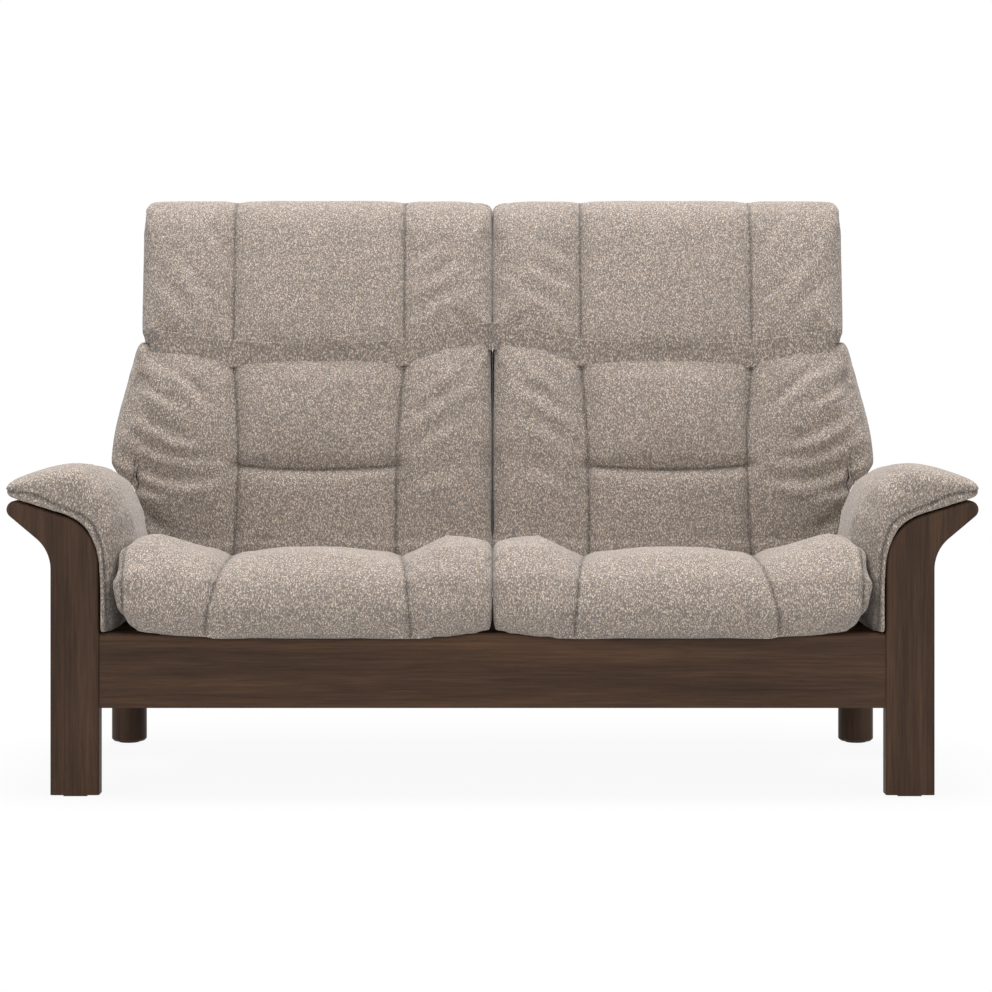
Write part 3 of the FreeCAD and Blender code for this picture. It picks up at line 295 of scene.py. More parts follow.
@dataclass(frozen=True)
class Boucle:
    """Woven upholstery of thick uneven yarn in several shades, in short dashes that lean both ways.

    The yarn and the nub are lengths. The patch, the fibre and the fading are bumps to the metre.
    """

    name: str
    yarn: float = 0.0022
    stretch: float = 0.5
    lean: float = 0.75
    wander: float = 2.2
    jitter: float = 0.85
    patch: float = 60.0
    patch_edge: float = 14.0
    gap: float = 0.27
    gap_edge: float = 3.2
    gap_shade: float = 0.92
    fibre: float = 1500.0
    haze: float = 0.10
    fading: float = 5.5
    seam_shade: float = 0.6
    nub: float = 0.0009
    cream: Colour = (0.52, 0.44, 0.375)
    beige: Colour = (0.40, 0.33, 0.275)
    taupe: Colour = (0.27, 0.232, 0.203)
    rust: Colour = (0.37, 0.265, 0.185)
    slate: Colour = (0.225, 0.23, 0.245)
    shadow: Colour = (0.09, 0.078, 0.07)

    def material(self) -> Material:
        """Builds the weave."""
        cloth = Finish(self.name)
        cells = 1.0 / self.yarn
        wander = cloth.noise(cells * 0.35, detail=1.0, output="Color")
        centred = cloth.node("ShaderNodeVectorMath", {"operation": "SUBTRACT"},
                             {0: wander, 1: (0.5, 0.5, 0.5)}, "Vector")
        bent = cloth.node("ShaderNodeVectorMath", {"operation": "MULTIPLY_ADD"},
                          {0: centred, 1: (self.yarn * self.wander,) * 3, 2: cloth.place}, "Vector")
        drift = cloth.noise(self.patch, detail=1.0)
        swap = cloth.clamp((drift - 0.5) * self.patch_edge + 0.5)
        loops, tints = [], []
        for turn in (self.lean, -self.lean):
            laid = cloth.node("ShaderNodeMapping", {}, {
                "Vector": bent, "Rotation": (0.0, turn, 0.0), "Scale": (1.0, 1.0, self.stretch)})
            weave = {"Vector": laid, "Scale": cells, "Randomness": self.jitter}
            loops.append(cloth.node("ShaderNodeTexVoronoi", {}, weave, "Distance"))
            tints.append(cloth.node("ShaderNodeTexVoronoi", {}, weave, "Color"))
        loop = loops[0] * (1.0 - swap) + loops[1] * swap
        pick_one = cloth.node("ShaderNodeSeparateColor", {}, {"Color": cloth.mix(swap, *tints)}, "Red")
        yarns = cloth.ramp(pick_one, [(0.0, self.slate), (0.14, self.taupe), (0.34, self.beige),
                                      (0.50, self.rust), (0.60, self.beige), (0.78, self.cream),
                                      (0.96, self.cream), (1.0, self.taupe)])
        sunk = cloth.clamp((loop - self.gap) * self.gap_edge)
        deep = cloth.mix(sunk * self.gap_shade, yarns, self.shadow)
        fibre = cloth.noise(self.fibre, detail=2.0)
        hairy = cloth.mix((fibre - 0.5) * 0.5 + self.haze, deep, self.cream)
        worn = cloth.noise(self.fading, detail=3.0)
        sewn = cloth.node("ShaderNodeAttribute", {"attribute_name": "sewn"}, {}, "Fac")
        shade = (0.93 + worn * 0.14) * (1.0 - sewn * self.seam_shade)
        grey = cloth.node("ShaderNodeCombineColor", {}, {"Red": shade, "Green": shade, "Blue": shade})
        toned = cloth.mix(1.0, hairy, grey, "MULTIPLY")
        height = (1.0 - loop) + (fibre - 0.5) * 0.3
        return cloth.surface(Base_Color=toned, Roughness=0.92, Normal=cloth.bump(height, self.nub),
                             Sheen_Weight=0.2, Sheen_Roughness=0.45, Specular_IOR_Level=0.2)


@dataclass(frozen=True)
class StainedWood:
    """Close-grained wood under a dark stain and a satin lacquer.

    The drift, the bands, the streaks and the pores are bumps to the metre across the grain.
    """

    name: str
    grain: Grain
    drift: float = 9.0
    bands: float = 46.0
    streaks: float = 230.0
    pores: float = 760.0
    pore_level: float = 0.58
    pore_shade: float = 0.55
    relief: float = 0.0003
    dark: Colour = (0.0215, 0.0106, 0.0056)
    middle: Colour = (0.0420, 0.0212, 0.0114)
    light: Colour = (0.0745, 0.0390, 0.0206)
    gloss: float = 0.5

    def material(self) -> Material:
        """Builds the grain."""
        wood = Finish(self.name)
        along = wood.scaled(self.grain.value)
        drift = wood.noise(self.drift, along, 3.0)
        band = wood.noise(self.bands, along, 5.0)
        streak = wood.noise(self.streaks, along, 4.0)
        pores = wood.noise(self.pores, along, 2.0)
        tone = band * 0.46 + streak * 0.36 + drift * 0.18
        body = wood.ramp(tone, [(0.34, self.dark), (0.50, self.middle), (0.68, self.light)])
        opened = wood.clamp((pores - self.pore_level) * 5.0)
        lined = wood.mix(opened * self.pore_shade, body, self.dark)
        rough = self.gloss + opened * 0.12 + streak * 0.06
        height = streak * 0.4 - opened * 0.6
        return wood.surface(Base_Color=lined, Roughness=rough, Specular_IOR_Level=0.15,
                            Normal=wood.bump(height, self.relief))


@dataclass(frozen=True)
class Metal:
    """Plated, oiled or powder coated steel."""

    name: str
    colour: Colour
    metallic: float
    roughness: float
    fleck: float = 900.0
    bloom: float = 24.0
    relief: float = 0.00008

    def material(self) -> Material:
        """Builds the metal."""
        steel = Finish(self.name)
        grit = steel.noise(self.fleck, detail=3.0)
        bloom = steel.noise(self.bloom, detail=4.0)
        tint = steel.mix(bloom * 0.35, self.colour, shade_of(self.colour, 0.6))
        return steel.surface(Base_Color=tint, Metallic=self.metallic,
                             Roughness=self.roughness + (grit - 0.5) * 0.2,
                             Normal=steel.bump(grit, self.relief))


@dataclass(frozen=True)
class PlainCloth:
    """Thin even cloth: lining or elastic webbing."""

    name: str
    colour: Colour
    thread: float
    slub: float = 60.0
    relief: float = 0.0002

    def material(self) -> Material:
        """Builds the fine weave."""
        cloth = Finish(self.name)
        turns = math.pi / self.thread
        parts = {word: cloth.node("ShaderNodeSeparateXYZ", {}, {"Vector": cloth.place}, word)
                 for word in ("X", "Y", "Z")}
        warp = cloth.node("ShaderNodeMath", {"operation": "SINE"}, {0: parts["X"] * turns})
        weft = cloth.node("ShaderNodeMath", {"operation": "SINE"}, {0: (parts["Z"] + parts["Y"]) * turns})
        crossing = warp * weft * 0.5 + 0.5
        slub = cloth.noise(self.slub, detail=4.0)
        share = crossing * 0.35 + slub * 0.3
        tint = cloth.mix(share, shade_of(self.colour, 0.55), shade_of(self.colour, 1.45))
        return cloth.surface(Base_Color=tint, Roughness=0.95, Normal=cloth.bump(crossing, self.relief),
                             Sheen_Weight=0.1)


@dataclass(frozen=True)
class Nylon:
    """Moulded black plastic."""

    name: str
    colour: Colour = (0.022, 0.022, 0.023)
    stipple: float = 1500.0
    relief: float = 0.00006

    def material(self) -> Material:
        """Builds the moulded surface."""
        plastic = Finish(self.name)
        stipple = plastic.noise(self.stipple, detail=2.0)
        tint = plastic.mix(stipple, self.colour, shade_of(self.colour, 1.5))
        return plastic.surface(Base_Color=tint, Roughness=0.48 + stipple * 0.14,
                               Normal=plastic.bump(stipple, self.relief))


def made_of(finish: "Boucle | StainedWood | Metal | PlainCloth | Nylon") -> Field:
    """A field of the wardrobe that holds one finish, built with the wardrobe."""
    return field(default_factory=finish.material)


@dataclass(frozen=True)
class Wardrobe:
    """Every finish of the settee, and which CAD node wears which."""

    cloth: Material = made_of(Boucle("boucle"))
    flat_cloth: Material = made_of(Boucle("boucle_stretched", yarn=0.0025, nub=0.0006))
    upright_wood: Material = made_of(StainedWood("stained_wood_upright", Grain.UPRIGHT))
    long_wood: Material = made_of(StainedWood("stained_wood_long", Grain.ACROSS))
    deep_wood: Material = made_of(StainedWood("stained_wood_deep", Grain.FRONT_TO_BACK))
    lining: Material = made_of(PlainCloth("lining_cloth", (0.075, 0.071, 0.064), 0.0012))
    webbing: Material = made_of(PlainCloth("elastic_webbing", (0.020, 0.020, 0.021), 0.0022))
    zinc: Material = made_of(Metal("zinc_plate", (0.60, 0.60, 0.60), 1.0, 0.36))
    spring: Material = made_of(Metal("oiled_spring_steel", (0.22, 0.22, 0.23), 1.0, 0.42))
    coated: Material = made_of(Metal("powder_coat", (0.020, 0.020, 0.021), 0.0, 0.55))
    nylon: Material = made_of(Nylon("black_nylon"))

    def dress_nodes(self) -> None:
        """Gives every carried-over CAD node its finish."""
        by_word = (("front_post", self.upright_wood), ("rear_leg", self.upright_wood),
                   ("side_rail", self.deep_wood), ("arm_sill", self.deep_wood),
                   ("rail", self.long_wood), ("beam", self.long_wood), ("blocks", self.upright_wood),
                   ("arm_shell", self.flat_cloth), ("arm_ribs", self.flat_cloth),
                   ("side_panel", self.flat_cloth), ("lining", self.lining), ("cushion", self.cloth),
                   ("arm_pad", self.cloth), ("floor_glides", self.nylon), ("shoes", self.nylon),
                   ("webbing", self.webbing), ("pins", self.zinc), ("bolts", self.zinc),
                   ("springs", self.spring), ("back_shell", self.flat_cloth),
                   ("head_shell", self.flat_cloth), ("brackets", self.coated), ("tracks", self.coated),
                   ("frame", self.coated))
        for name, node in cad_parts.items():
            finish = next(made for word, made in by_word if word in name)
            wear(node, finish)


def wear(piece: Object, finish: Material) -> None:
    """Gives a piece one material."""
    piece.data.materials.clear()
    piece.data.materials.append(finish)


def pick(*things: Object) -> None:
    """Deselects everything, then selects these things, with the first one active."""
    bpy.ops.object.select_all(action="DESELECT")
    for thing in things:
        thing.select_set(True)
    bpy.context.view_layer.objects.active = things[0]


def rows_of(piece: Object, what: str) -> np.ndarray:
    """The places or the normals of a piece's vertices.

    Args:
        piece: a mesh object at the origin.
        what: "co" for the places, "normal" for the normals.

    Returns:
        One row of three for each vertex.
    """
    flat = np.empty(len(piece.data.vertices) * 3)
    piece.data.vertices.foreach_get(what, flat)
    return flat.reshape(-1, 3)


def settle(piece: Object, spots: np.ndarray) -> None:
    """Moves a piece's vertices.

    Args:
        piece: a mesh object.
        spots: their new places.
    """
    piece.data.vertices.foreach_set("co", spots.reshape(-1))
    piece.data.update()


def smooth_step(value: np.ndarray, low: float, high: float) -> np.ndarray:
    """Nought below one value and one above another, with a soft change between them."""
    share = np.clip((value - low) / (high - low), 0.0, 1.0)
    return share * share * (3.0 - 2.0 * share)


def rounded(points: Line, steps: int = 10) -> np.ndarray:
    """A smooth line through a few points.

    Args:
        points: the points in order.
        steps: short lines from one point to the next.

    Returns:
        The line's own points.
    """
    rows = np.array(points)
    padded = np.vstack([rows[0] * 2 - rows[1], rows, rows[-1] * 2 - rows[-2]])
    line = []
    for before, start, end, after in zip(padded, padded[1:], padded[2:], padded[3:]):
        for step in range(steps):
            t = step / steps
            square = 2 * before - 5 * start + 4 * end - after
            cube = 3 * start - before - 3 * end + after
            line.append(0.5 * (2 * start + (end - before) * t + square * t ** 2 + cube * t ** 3))
    return np.array(line + [rows[-1]])


def follow_neck(spots: np.ndarray, share: np.ndarray) -> np.ndarray:
    """Bends a level edge into the curved seam between the head and back cushions.

    Args:
        spots: places as rows of three.
        share: how much each follows the seam.

    Returns:
        The new places.
    """
    line = rounded(NECK_SEAM)
    drop = (np.interp(np.abs(spots[:, 0]), line[:, 0], line[:, 1]) - NECK_LEVEL) * share
    return spots + np.stack([drop * 0.0, drop * NECK_LEAN, drop], axis=1)


@dataclass(frozen=True)
class Crease:
    """A line in the cloth, through points given as (x, z), or as (x, y + z) where it runs over an edge.

    It sinks by its depth over its width, and the cloth beside it rises by a share of that. It dies out
    at its ends if it fades.
    """

    points: Line
    depth: float
    width: float
    rise: float = 0.0
    fade: bool = True
    stitched: bool = False
    seen: Look = Look.FRONT

    def sink(self, spots: np.ndarray) -> tuple[np.ndarray, np.ndarray]:
        """How far each spot sinks, and how close it is to a stitched line.

        Args:
            spots: places as rows of three.

        Returns:
            The depth in metres, and a share from 0 to 1.
        """
        line = rounded(self.points)
        flat = spots @ np.array(self.seen.value)
        reach = self.width * CREASE_REACH
        near = np.all((flat > line.min(axis=0) - reach) & (flat < line.max(axis=0) + reach), axis=1)
        close = flat[near]
        best = np.full(len(close), np.inf)
        side = np.zeros(len(close))
        along = np.zeros(len(close))
        for place, (start, end) in enumerate(zip(line, line[1:])):
            step = end - start
            share = np.clip((close - start) @ step / (step @ step), 0.0, 1.0)
            offset = close - start - share[:, None] * step
            gap = np.hypot(offset[:, 0], offset[:, 1])
            better = gap < best
            best[better] = gap[better]
            along[better] = (place + share[better]) / (len(line) - 1)
            side[better] = np.sign(step[0] * offset[better, 1] - step[1] * offset[better, 0])
        strength = np.sin(np.pi * np.clip(along, *CREASE_ENDS)) ** CREASE_FADE if self.fade else 1.0
        away = best * side / self.width
        hollow = np.exp(-away ** 2) - self.rise * np.exp(-(away - CREASE_RIM) ** 2)
        depth = np.zeros(len(spots))
        sewn = np.zeros(len(spots))
        depth[near] = hollow * strength * self.depth
        if self.stitched:
            sewn[near] = np.exp(-(best / STITCH_WIDTH) ** 2)
            depth[near] += sewn[near] * STITCH_DEPTH
        return depth, sewn


@dataclass
class SoftGoods:
    """An upholstered piece of the right-hand seat, and its mirror image on the left.

    The tuck is how far the skin starts inside the CAD solid, the swell how far it may then be blown out,
    and the margins what its finished box has more than the solid's, at its low and its high corner. A span
    in a piece below is where an effect starts and where it is full, along an axis. Where the effect grows
    against the axis, both signs are changed.
    """

    node: str
    body: str
    finish: Material
    material_slot: str = "upholstery_fabric"
    voxel: float = 0.007
    tuck: float = 0.003
    swell: float = 0.012
    pressure: float = 5.0
    relax: int = 6
    fill: float = 0.75
    frames: int = 12
    ripple: float = 0.0008
    middle: float = MIDDLE_GAP
    margins: tuple[Place, Place] = ((0.0, 0.0, 0.0), (0.0, 0.0, 0.0))

    def seams(self) -> tuple[Crease, ...]:
        """Sewn lines, which stay down while the cloth is blown up."""
        return ()

    def folds(self) -> tuple[Crease, ...]:
        """Lines that the cloth falls into by itself."""
        return ()

    def room(self, spots: np.ndarray, facing: np.ndarray) -> np.ndarray:
        """How far each spot may swell. Where there is no room, it is held.

        Args:
            spots: places as rows of three.
            facing: normals as rows of three.

        Returns:
            A length for each spot.
        """
        back = smooth_step(facing[:, 1], *BACKWARDS)
        under = smooth_step(-facing[:, 2], *DOWNWARDS)
        return self.swell * (1.0 - np.maximum(back, under))

    def shaped(self, spots: np.ndarray) -> np.ndarray:
        """The form after the cloth has settled and before it is sewn."""
        return spots

    def fitted(self, spots: np.ndarray) -> np.ndarray:
        """The finished form, flat against the twin in the middle of the settee."""
        spots[:, 0] = np.maximum(spots[:, 0], self.middle)
        return spots

    def build(self) -> None:
        """Makes the right-hand and the left-hand piece."""
        right = self._skin()
        self._blow_up(right)
        self._fill_out(right)
        pick(right)
        finer = right.modifiers.new("finer", "SUBSURF")
        finer.levels = finer.render_levels = 1
        bpy.ops.object.modifier_apply(modifier=finer.name)
        self._sew(right)
        bpy.ops.object.shade_smooth()
        wear(right, self.finish)
        for piece in (right, self._twin(right)):
            side = piece.name.split("_")[0]
            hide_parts(f"{side}_{self.node}")
            self.carry(piece, side)
            log.info("%s: %d faces", piece.name, len(piece.data.polygons))

    def carry(self, piece: Object, side: str) -> None:
        """Lets a piece move with its body."""
        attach(piece, self.body if self.body == "base" else f"{side}_{self.body}")

    def _skin(self) -> Object:
        """An even, slightly smaller skin over the right-hand CAD node."""
        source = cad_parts[f"right_{self.node}"]
        piece = bpy.data.objects.new(f"right_soft_{self.node}", source.data.copy())
        bpy.context.scene.collection.objects.link(piece)
        pick(piece)
        bpy.ops.object.mode_set(mode="EDIT")
        bpy.ops.mesh.select_all(action="SELECT")
        bpy.ops.mesh.remove_doubles(threshold=1e-5)
        bpy.ops.object.mode_set(mode="OBJECT")
        even = piece.modifiers.new("even", "REMESH")
        even.mode = "VOXEL"
        even.voxel_size = self.voxel
        bpy.ops.object.modifier_apply(modifier=even.name)
        soft = piece.modifiers.new("soft", "SMOOTH")
        soft.factor = 0.5
        soft.iterations = self.relax
        bpy.ops.object.modifier_apply(modifier=soft.name)
        facing = rows_of(piece, "normal")
        spots = rows_of(piece, "co")
        tucked = np.minimum(self.room(spots, facing), self.tuck)
        settle(piece, spots - facing * tucked[:, None])
        return piece

    def _fill_out(self, piece: Object) -> None:
        """Brings the skin's outline back to that of the CAD node, plus its margins."""
        spots = rows_of(piece, "co")
        low, high = (np.array(corner) + margin
                     for corner, margin in zip(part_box(f"right_{self.node}"), self.margins))
        share = (spots - spots.min(axis=0)) / np.ptp(spots, axis=0)
        settle(piece, low + share * (high - low))

    def _blow_up(self, piece: Object) -> None:
        """Blows the skin up as cloth between its sewn and held lines.

        Args:
            piece: the skin, whose vertices move by no more than their room.
        """
        start = rows_of(piece, "co")
        facing = rows_of(piece, "normal")
        room = self.room(start, facing)
        hold = (room < HELD_ROOM).astype(float)
        for seam in self.seams():
            depth, _ = seam.sink(start)
            hold = np.maximum(hold, np.clip(depth / (seam.depth * 0.9), 0.0, 1.0))
        group = piece.vertex_groups.new(name="held")
        for level in np.unique(np.round(hold, 1)):
            if level > 0:
                members = np.flatnonzero(np.round(hold, 1) == level)
                group.add(members.tolist(), float(level), "REPLACE")
        cloth = piece.modifiers.new("stuffing", "CLOTH")
        cloth.settings.quality = CLOTH_QUALITY
        cloth.settings.use_pressure = True
        cloth.settings.uniform_pressure_force = self.pressure
        cloth.settings.vertex_group_mass = "held"
        cloth.settings.effector_weights.gravity = 0.0
        cloth.collision_settings.use_collision = False
        cloth.point_cache.frame_start = 1
        cloth.point_cache.frame_end = self.frames
        for step in range(1, self.frames + 1):
            bpy.context.scene.frame_set(step)
        pick(piece)
        bpy.ops.object.modifier_apply(modifier=cloth.name)
        bpy.context.scene.frame_set(1)
        piece.vertex_groups.clear()
        moved = rows_of(piece, "co") - start
        length = np.linalg.norm(moved, axis=1)
        allowed = room * np.tanh(length / np.maximum(room, HELD_ROOM))
        log.info("%s: swells by up to %.1f mm", piece.name, allowed.max() * 1000)
        settle(piece, start + moved * (allowed / np.maximum(length, 1e-9))[:, None])

    def _sew(self, piece: Object) -> None:
        """Draws the seams and folds into the finished skin."""
        spots = self.shaped(rows_of(piece, "co"))
        settle(piece, spots)
        facing = rows_of(piece, "normal")
        shown = 1.0 - np.maximum(smooth_step(facing[:, 1], *UNSEEN_BEHIND),
                                 smooth_step(-facing[:, 2], *UNSEEN_BELOW))
        total = np.zeros(len(spots))
        sewn = np.zeros(len(spots))
        for crease in (*self.seams(), *self.folds()):
            depth, stitches = crease.sink(spots)
            total += depth
            sewn = np.maximum(sewn, stitches)
        wave = sum(np.sin(spots @ np.array(way) + turn) for way, turn in RIPPLES) / len(RIPPLES)
        settle(piece, self.fitted(spots + facing * (wave * self.ripple - total * shown)[:, None]))
        mark = piece.data.attributes.new("sewn", "FLOAT", "POINT")
        mark.data.foreach_set("value", sewn * shown)

    @staticmethod
    def _twin(right: Object) -> Object:
        """The mirror image of a piece, with its own mesh."""
        left = bpy.data.objects.new(right.name.replace("right_", "left_", 1), right.data.copy())
        bpy.context.scene.collection.objects.link(left)
        settle(left, rows_of(left, "co") * (-1.0, 1.0, 1.0))
        pick(left)
        left.data.flip_normals()
        return left


@dataclass
class SeatCushion(SoftGoods):
    """A seat cushion of three lobes that rolls over the front of its frame."""

    overhang: float = 0.024
    undercut: float = 0.016
    lift: float = 0.006
    held_rear: Span = (0.0, 0.05)
    front_roll: Span = (0.30, 0.34)
    lobe_out: Span = (0.48, 0.59)
    lobe_up: Span = (0.372, 0.420)
    side_out: Span = (0.53, 0.63)
    side_down: Span = (-0.375, -0.295)
    side_front: Span = (0.10, 0.25)

    def seams(self) -> tuple[Crease, ...]:
        """Two channels from the back to under the front, and a seam round the outer end."""
        outer = ((0.476, 0.52), (0.466, 0.30), (0.456, 0.115), (0.463, 0.02), (0.477, -0.065),
                 (0.487, -0.115), (0.492, -0.16))
        inner = ((0.172, 0.52), (0.164, 0.30), (0.156, 0.115), (0.149, 0.02), (0.143, -0.065),
                 (0.138, -0.115), (0.135, -0.16))
        end = ((0.600, 0.45), (0.606, 0.30), (0.618, 0.13), (0.6255, 0.067), (0.6250, 0.019),
               (0.6245, -0.036), (0.6235, -0.075))
        return (Crease(outer, 0.0055, 0.013, fade=False, stitched=True, seen=Look.OVER),
                Crease(inner, 0.0055, 0.013, fade=False, stitched=True, seen=Look.OVER),
                Crease(end, 0.0010, 0.005, stitched=True, seen=Look.OVER))

    def room(self, spots: np.ndarray, facing: np.ndarray) -> np.ndarray:
        """Free above and in front, tight at the arm, the middle and the back."""
        rear = smooth_step(spots[:, 1], *self.held_rear)
        front = smooth_step(-spots[:, 1], *self.front_roll)
        sideways = smooth_step(np.abs(facing[:, 0]), *SIDEWAYS)
        below = smooth_step(-facing[:, 2], *DOWNWARDS)
        free = self.swell * (1.0 - 0.75 * sideways) * (1.0 - below * (1.0 - 0.4 * front))
        return free * (1.0 - rear)

    def shaped(self, spots: np.ndarray) -> np.ndarray:
        """Its outer lobe is full above and drawn in below."""
        high = smooth_step(spots[:, 0], *self.lobe_out) * smooth_step(spots[:, 2], *self.lobe_up)
        low = smooth_step(spots[:, 0], *self.side_out) * smooth_step(-spots[:, 2], *self.side_down)
        front = smooth_step(-spots[:, 1], *self.side_front)
        spots[:, 0] += self.overhang * high - self.undercut * low * front
        spots[:, 2] += self.lift * low * front
        return spots


@dataclass
class BackCushion(SoftGoods):
    """The lower back cushion: a middle panel with a cross seam between two side panels."""

    held_top: Span = (0.735, 0.765)
    held_foot: Span = (-0.43, -0.39)
    wing_front: Span = (-0.15, -0.09)
    wing_foot: Span = (-0.64, -0.55)
    seam_up: Span = (0.60, 0.755)
    waist: float = 0.013
    waist_in: Span = (0.61, 0.65)
    waist_out: Span = (-0.668, -0.660)
    waist_up: Span = (0.425, 0.465)
    waist_down: Span = (-0.60, -0.55)
    wing_drop: tuple[tuple[float, ...], ...] = ((0.657, 0.664, 0.70, 0.72), (0.0, 0.060, 0.034, 0.022))

    def seams(self) -> tuple[Crease, ...]:
        """Two upright seams and a cross seam between them."""
        outer = ((0.491, 0.80), (0.491, 0.749), (0.487, 0.697), (0.481, 0.626), (0.478, 0.543),
                 (0.480, 0.455), (0.483, 0.376), (0.485, 0.29))
        inner = ((0.168, 0.80), (0.168, 0.749), (0.174, 0.661), (0.178, 0.602), (0.179, 0.543),
                 (0.180, 0.455), (0.180, 0.385), (0.180, 0.29))
        cross = ((0.480, 0.543), (0.405, 0.5375), (0.324, 0.536), (0.25, 0.538), (0.179, 0.542))
        return tuple(Crease(line, 0.007, 0.012, fade=False, stitched=True)
                     for line in (outer, inner, cross))

    def folds(self) -> tuple[Crease, ...]:
        """Slanting folds that fan out of the side panels' seams."""
        wing = (
            (((0.655, 0.742), (0.598, 0.720), (0.550, 0.679), (0.526, 0.645)), 0.0042, 0.011),
            (((0.671, 0.709), (0.632, 0.679), (0.584, 0.655)), 0.0036, 0.010),
            (((0.671, 0.645), (0.637, 0.622), (0.584, 0.597), (0.550, 0.592)), 0.0056, 0.013),
            (((0.690, 0.616), (0.647, 0.582), (0.598, 0.563), (0.511, 0.556)), 0.0044, 0.011),
            (((0.709, 0.569), (0.648, 0.535), (0.584, 0.515), (0.502, 0.524)), 0.0052, 0.013),
            (((0.715, 0.535), (0.656, 0.501), (0.600, 0.492)), 0.0040, 0.011),
            (((0.671, 0.476), (0.632, 0.438), (0.60, 0.42)), 0.0044, 0.014))
        inner = (
            (((0.173, 0.622), (0.101, 0.6695), (0.024, 0.713)), 0.0030, 0.013),
            (((0.173, 0.558), (0.115, 0.607), (0.067, 0.636)), 0.0034, 0.014),
            (((0.164, 0.660), (0.101, 0.718), (0.058, 0.747)), 0.0022, 0.012),
            (((0.160, 0.50), (0.10, 0.53), (0.045, 0.545)), 0.0018, 0.014))
        return tuple(Crease(line, depth, width, rise=0.55) for line, depth, width in wing + inner)

    def room(self, spots: np.ndarray, facing: np.ndarray) -> np.ndarray:
        """Free in front, tight where it meets the head cushion, the seat and its twin."""
        free = super().room(spots, facing)
        top = smooth_step(spots[:, 2], *self.held_top)
        low = smooth_step(-spots[:, 2], *self.held_foot)
        sideways = smooth_step(np.abs(facing[:, 0]), *SIDEWAYS)
        return free * (1.0 - 0.7 * np.maximum(top, sideways)) * (1.0 - low)

    def shaped(self, spots: np.ndarray) -> np.ndarray:
        """Its top edge follows the seam under the head cushion, and its wing hangs over the arm."""
        wing = smooth_step(-spots[:, 1], *self.wing_front) * smooth_step(-spots[:, 2], *self.wing_foot)
        drop = np.interp(spots[:, 0], *self.wing_drop)
        waist = smooth_step(spots[:, 0], *self.waist_in) * smooth_step(-spots[:, 0], *self.waist_out) \
            * smooth_step(spots[:, 2], *self.waist_up) * smooth_step(-spots[:, 2], *self.waist_down)
        bent = follow_neck(spots, smooth_step(spots[:, 2], *self.seam_up))
        bent[:, 0] += self.waist * waist
        bent[:, 2] -= drop * wing
        return bent


@dataclass
class HeadCushion(SoftGoods):
    """The head cushion, whose lower edge turns with the back it is sewn to."""

    held_foot: Span = (-0.80, -0.775)
    seam_down: Span = (-0.90, -0.775)
    corner_up: Span = (0.96, 1.045)
    corner_drop: tuple[tuple[float, ...], ...] = ((0.0, 0.010, 0.022, 0.043, 0.075),
                                                  (0.0140, 0.0104, 0.0066, 0.0019, 0.0))

    def seams(self) -> tuple[Crease, ...]:
        """Two upright seams that run on over the top."""
        outer = ((0.491, 0.70), (0.491, 0.749), (0.492, 0.781), (0.494, 0.902), (0.497, 1.03),
                 (0.498, 1.09))
        inner = ((0.168, 0.70), (0.168, 0.749), (0.169, 0.902), (0.170, 1.03), (0.170, 1.09))
        return tuple(Crease(line, 0.007, 0.012, fade=False, stitched=True) for line in (outer, inner))

    def folds(self) -> tuple[Crease, ...]:
        """Slanting folds in the side panels."""
        drawn = (
            (((0.560, 1.010), (0.530, 0.975), (0.508, 0.925)), 0.0026, 0.012),
            (((0.622, 0.959), (0.584, 0.921), (0.550, 0.868), (0.512, 0.809)), 0.0030, 0.013),
            (((0.650, 0.905), (0.60, 0.858), (0.56, 0.80)), 0.0028, 0.014),
            (((0.555, 0.892), (0.526, 0.868), (0.499, 0.846)), 0.0024, 0.010),
            (((0.164, 0.921), (0.115, 0.959), (0.085, 0.972)), 0.0024, 0.012),
            (((0.159, 0.880), (0.11, 0.905), (0.07, 0.93)), 0.0024, 0.012),
            (((0.166, 0.815), (0.099, 0.862), (0.043, 0.887)), 0.0026, 0.013))
        return tuple(Crease(line, depth, width, rise=0.5) for line, depth, width in drawn)

    def room(self, spots: np.ndarray, facing: np.ndarray) -> np.ndarray:
        """Free in front, tight at the seam below, at its twin and along the outline."""
        free = super().room(spots, facing)
        low = smooth_step(-spots[:, 2], *self.held_foot)
        top = smooth_step(facing[:, 2], *UPWARDS)
        sideways = smooth_step(np.abs(facing[:, 0]), *SIDEWAYS)
        return free * (1.0 - 0.65 * np.maximum(np.maximum(top, low), sideways))

    def shaped(self, spots: np.ndarray) -> np.ndarray:
        """Its lower edge follows the curved seam on the back cushion, and its inner top corner is round."""
        bent = follow_neck(spots, smooth_step(-spots[:, 2], *self.seam_down))
        dip = np.interp(bent[:, 0], *self.corner_drop)
        bent[:, 2] -= dip * smooth_step(bent[:, 2], *self.corner_up)
        return bent

    def carry(self, piece: Object, side: str) -> None:
        """Leaves the piece unattached, with its transform baked into its mesh."""
        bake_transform(piece)


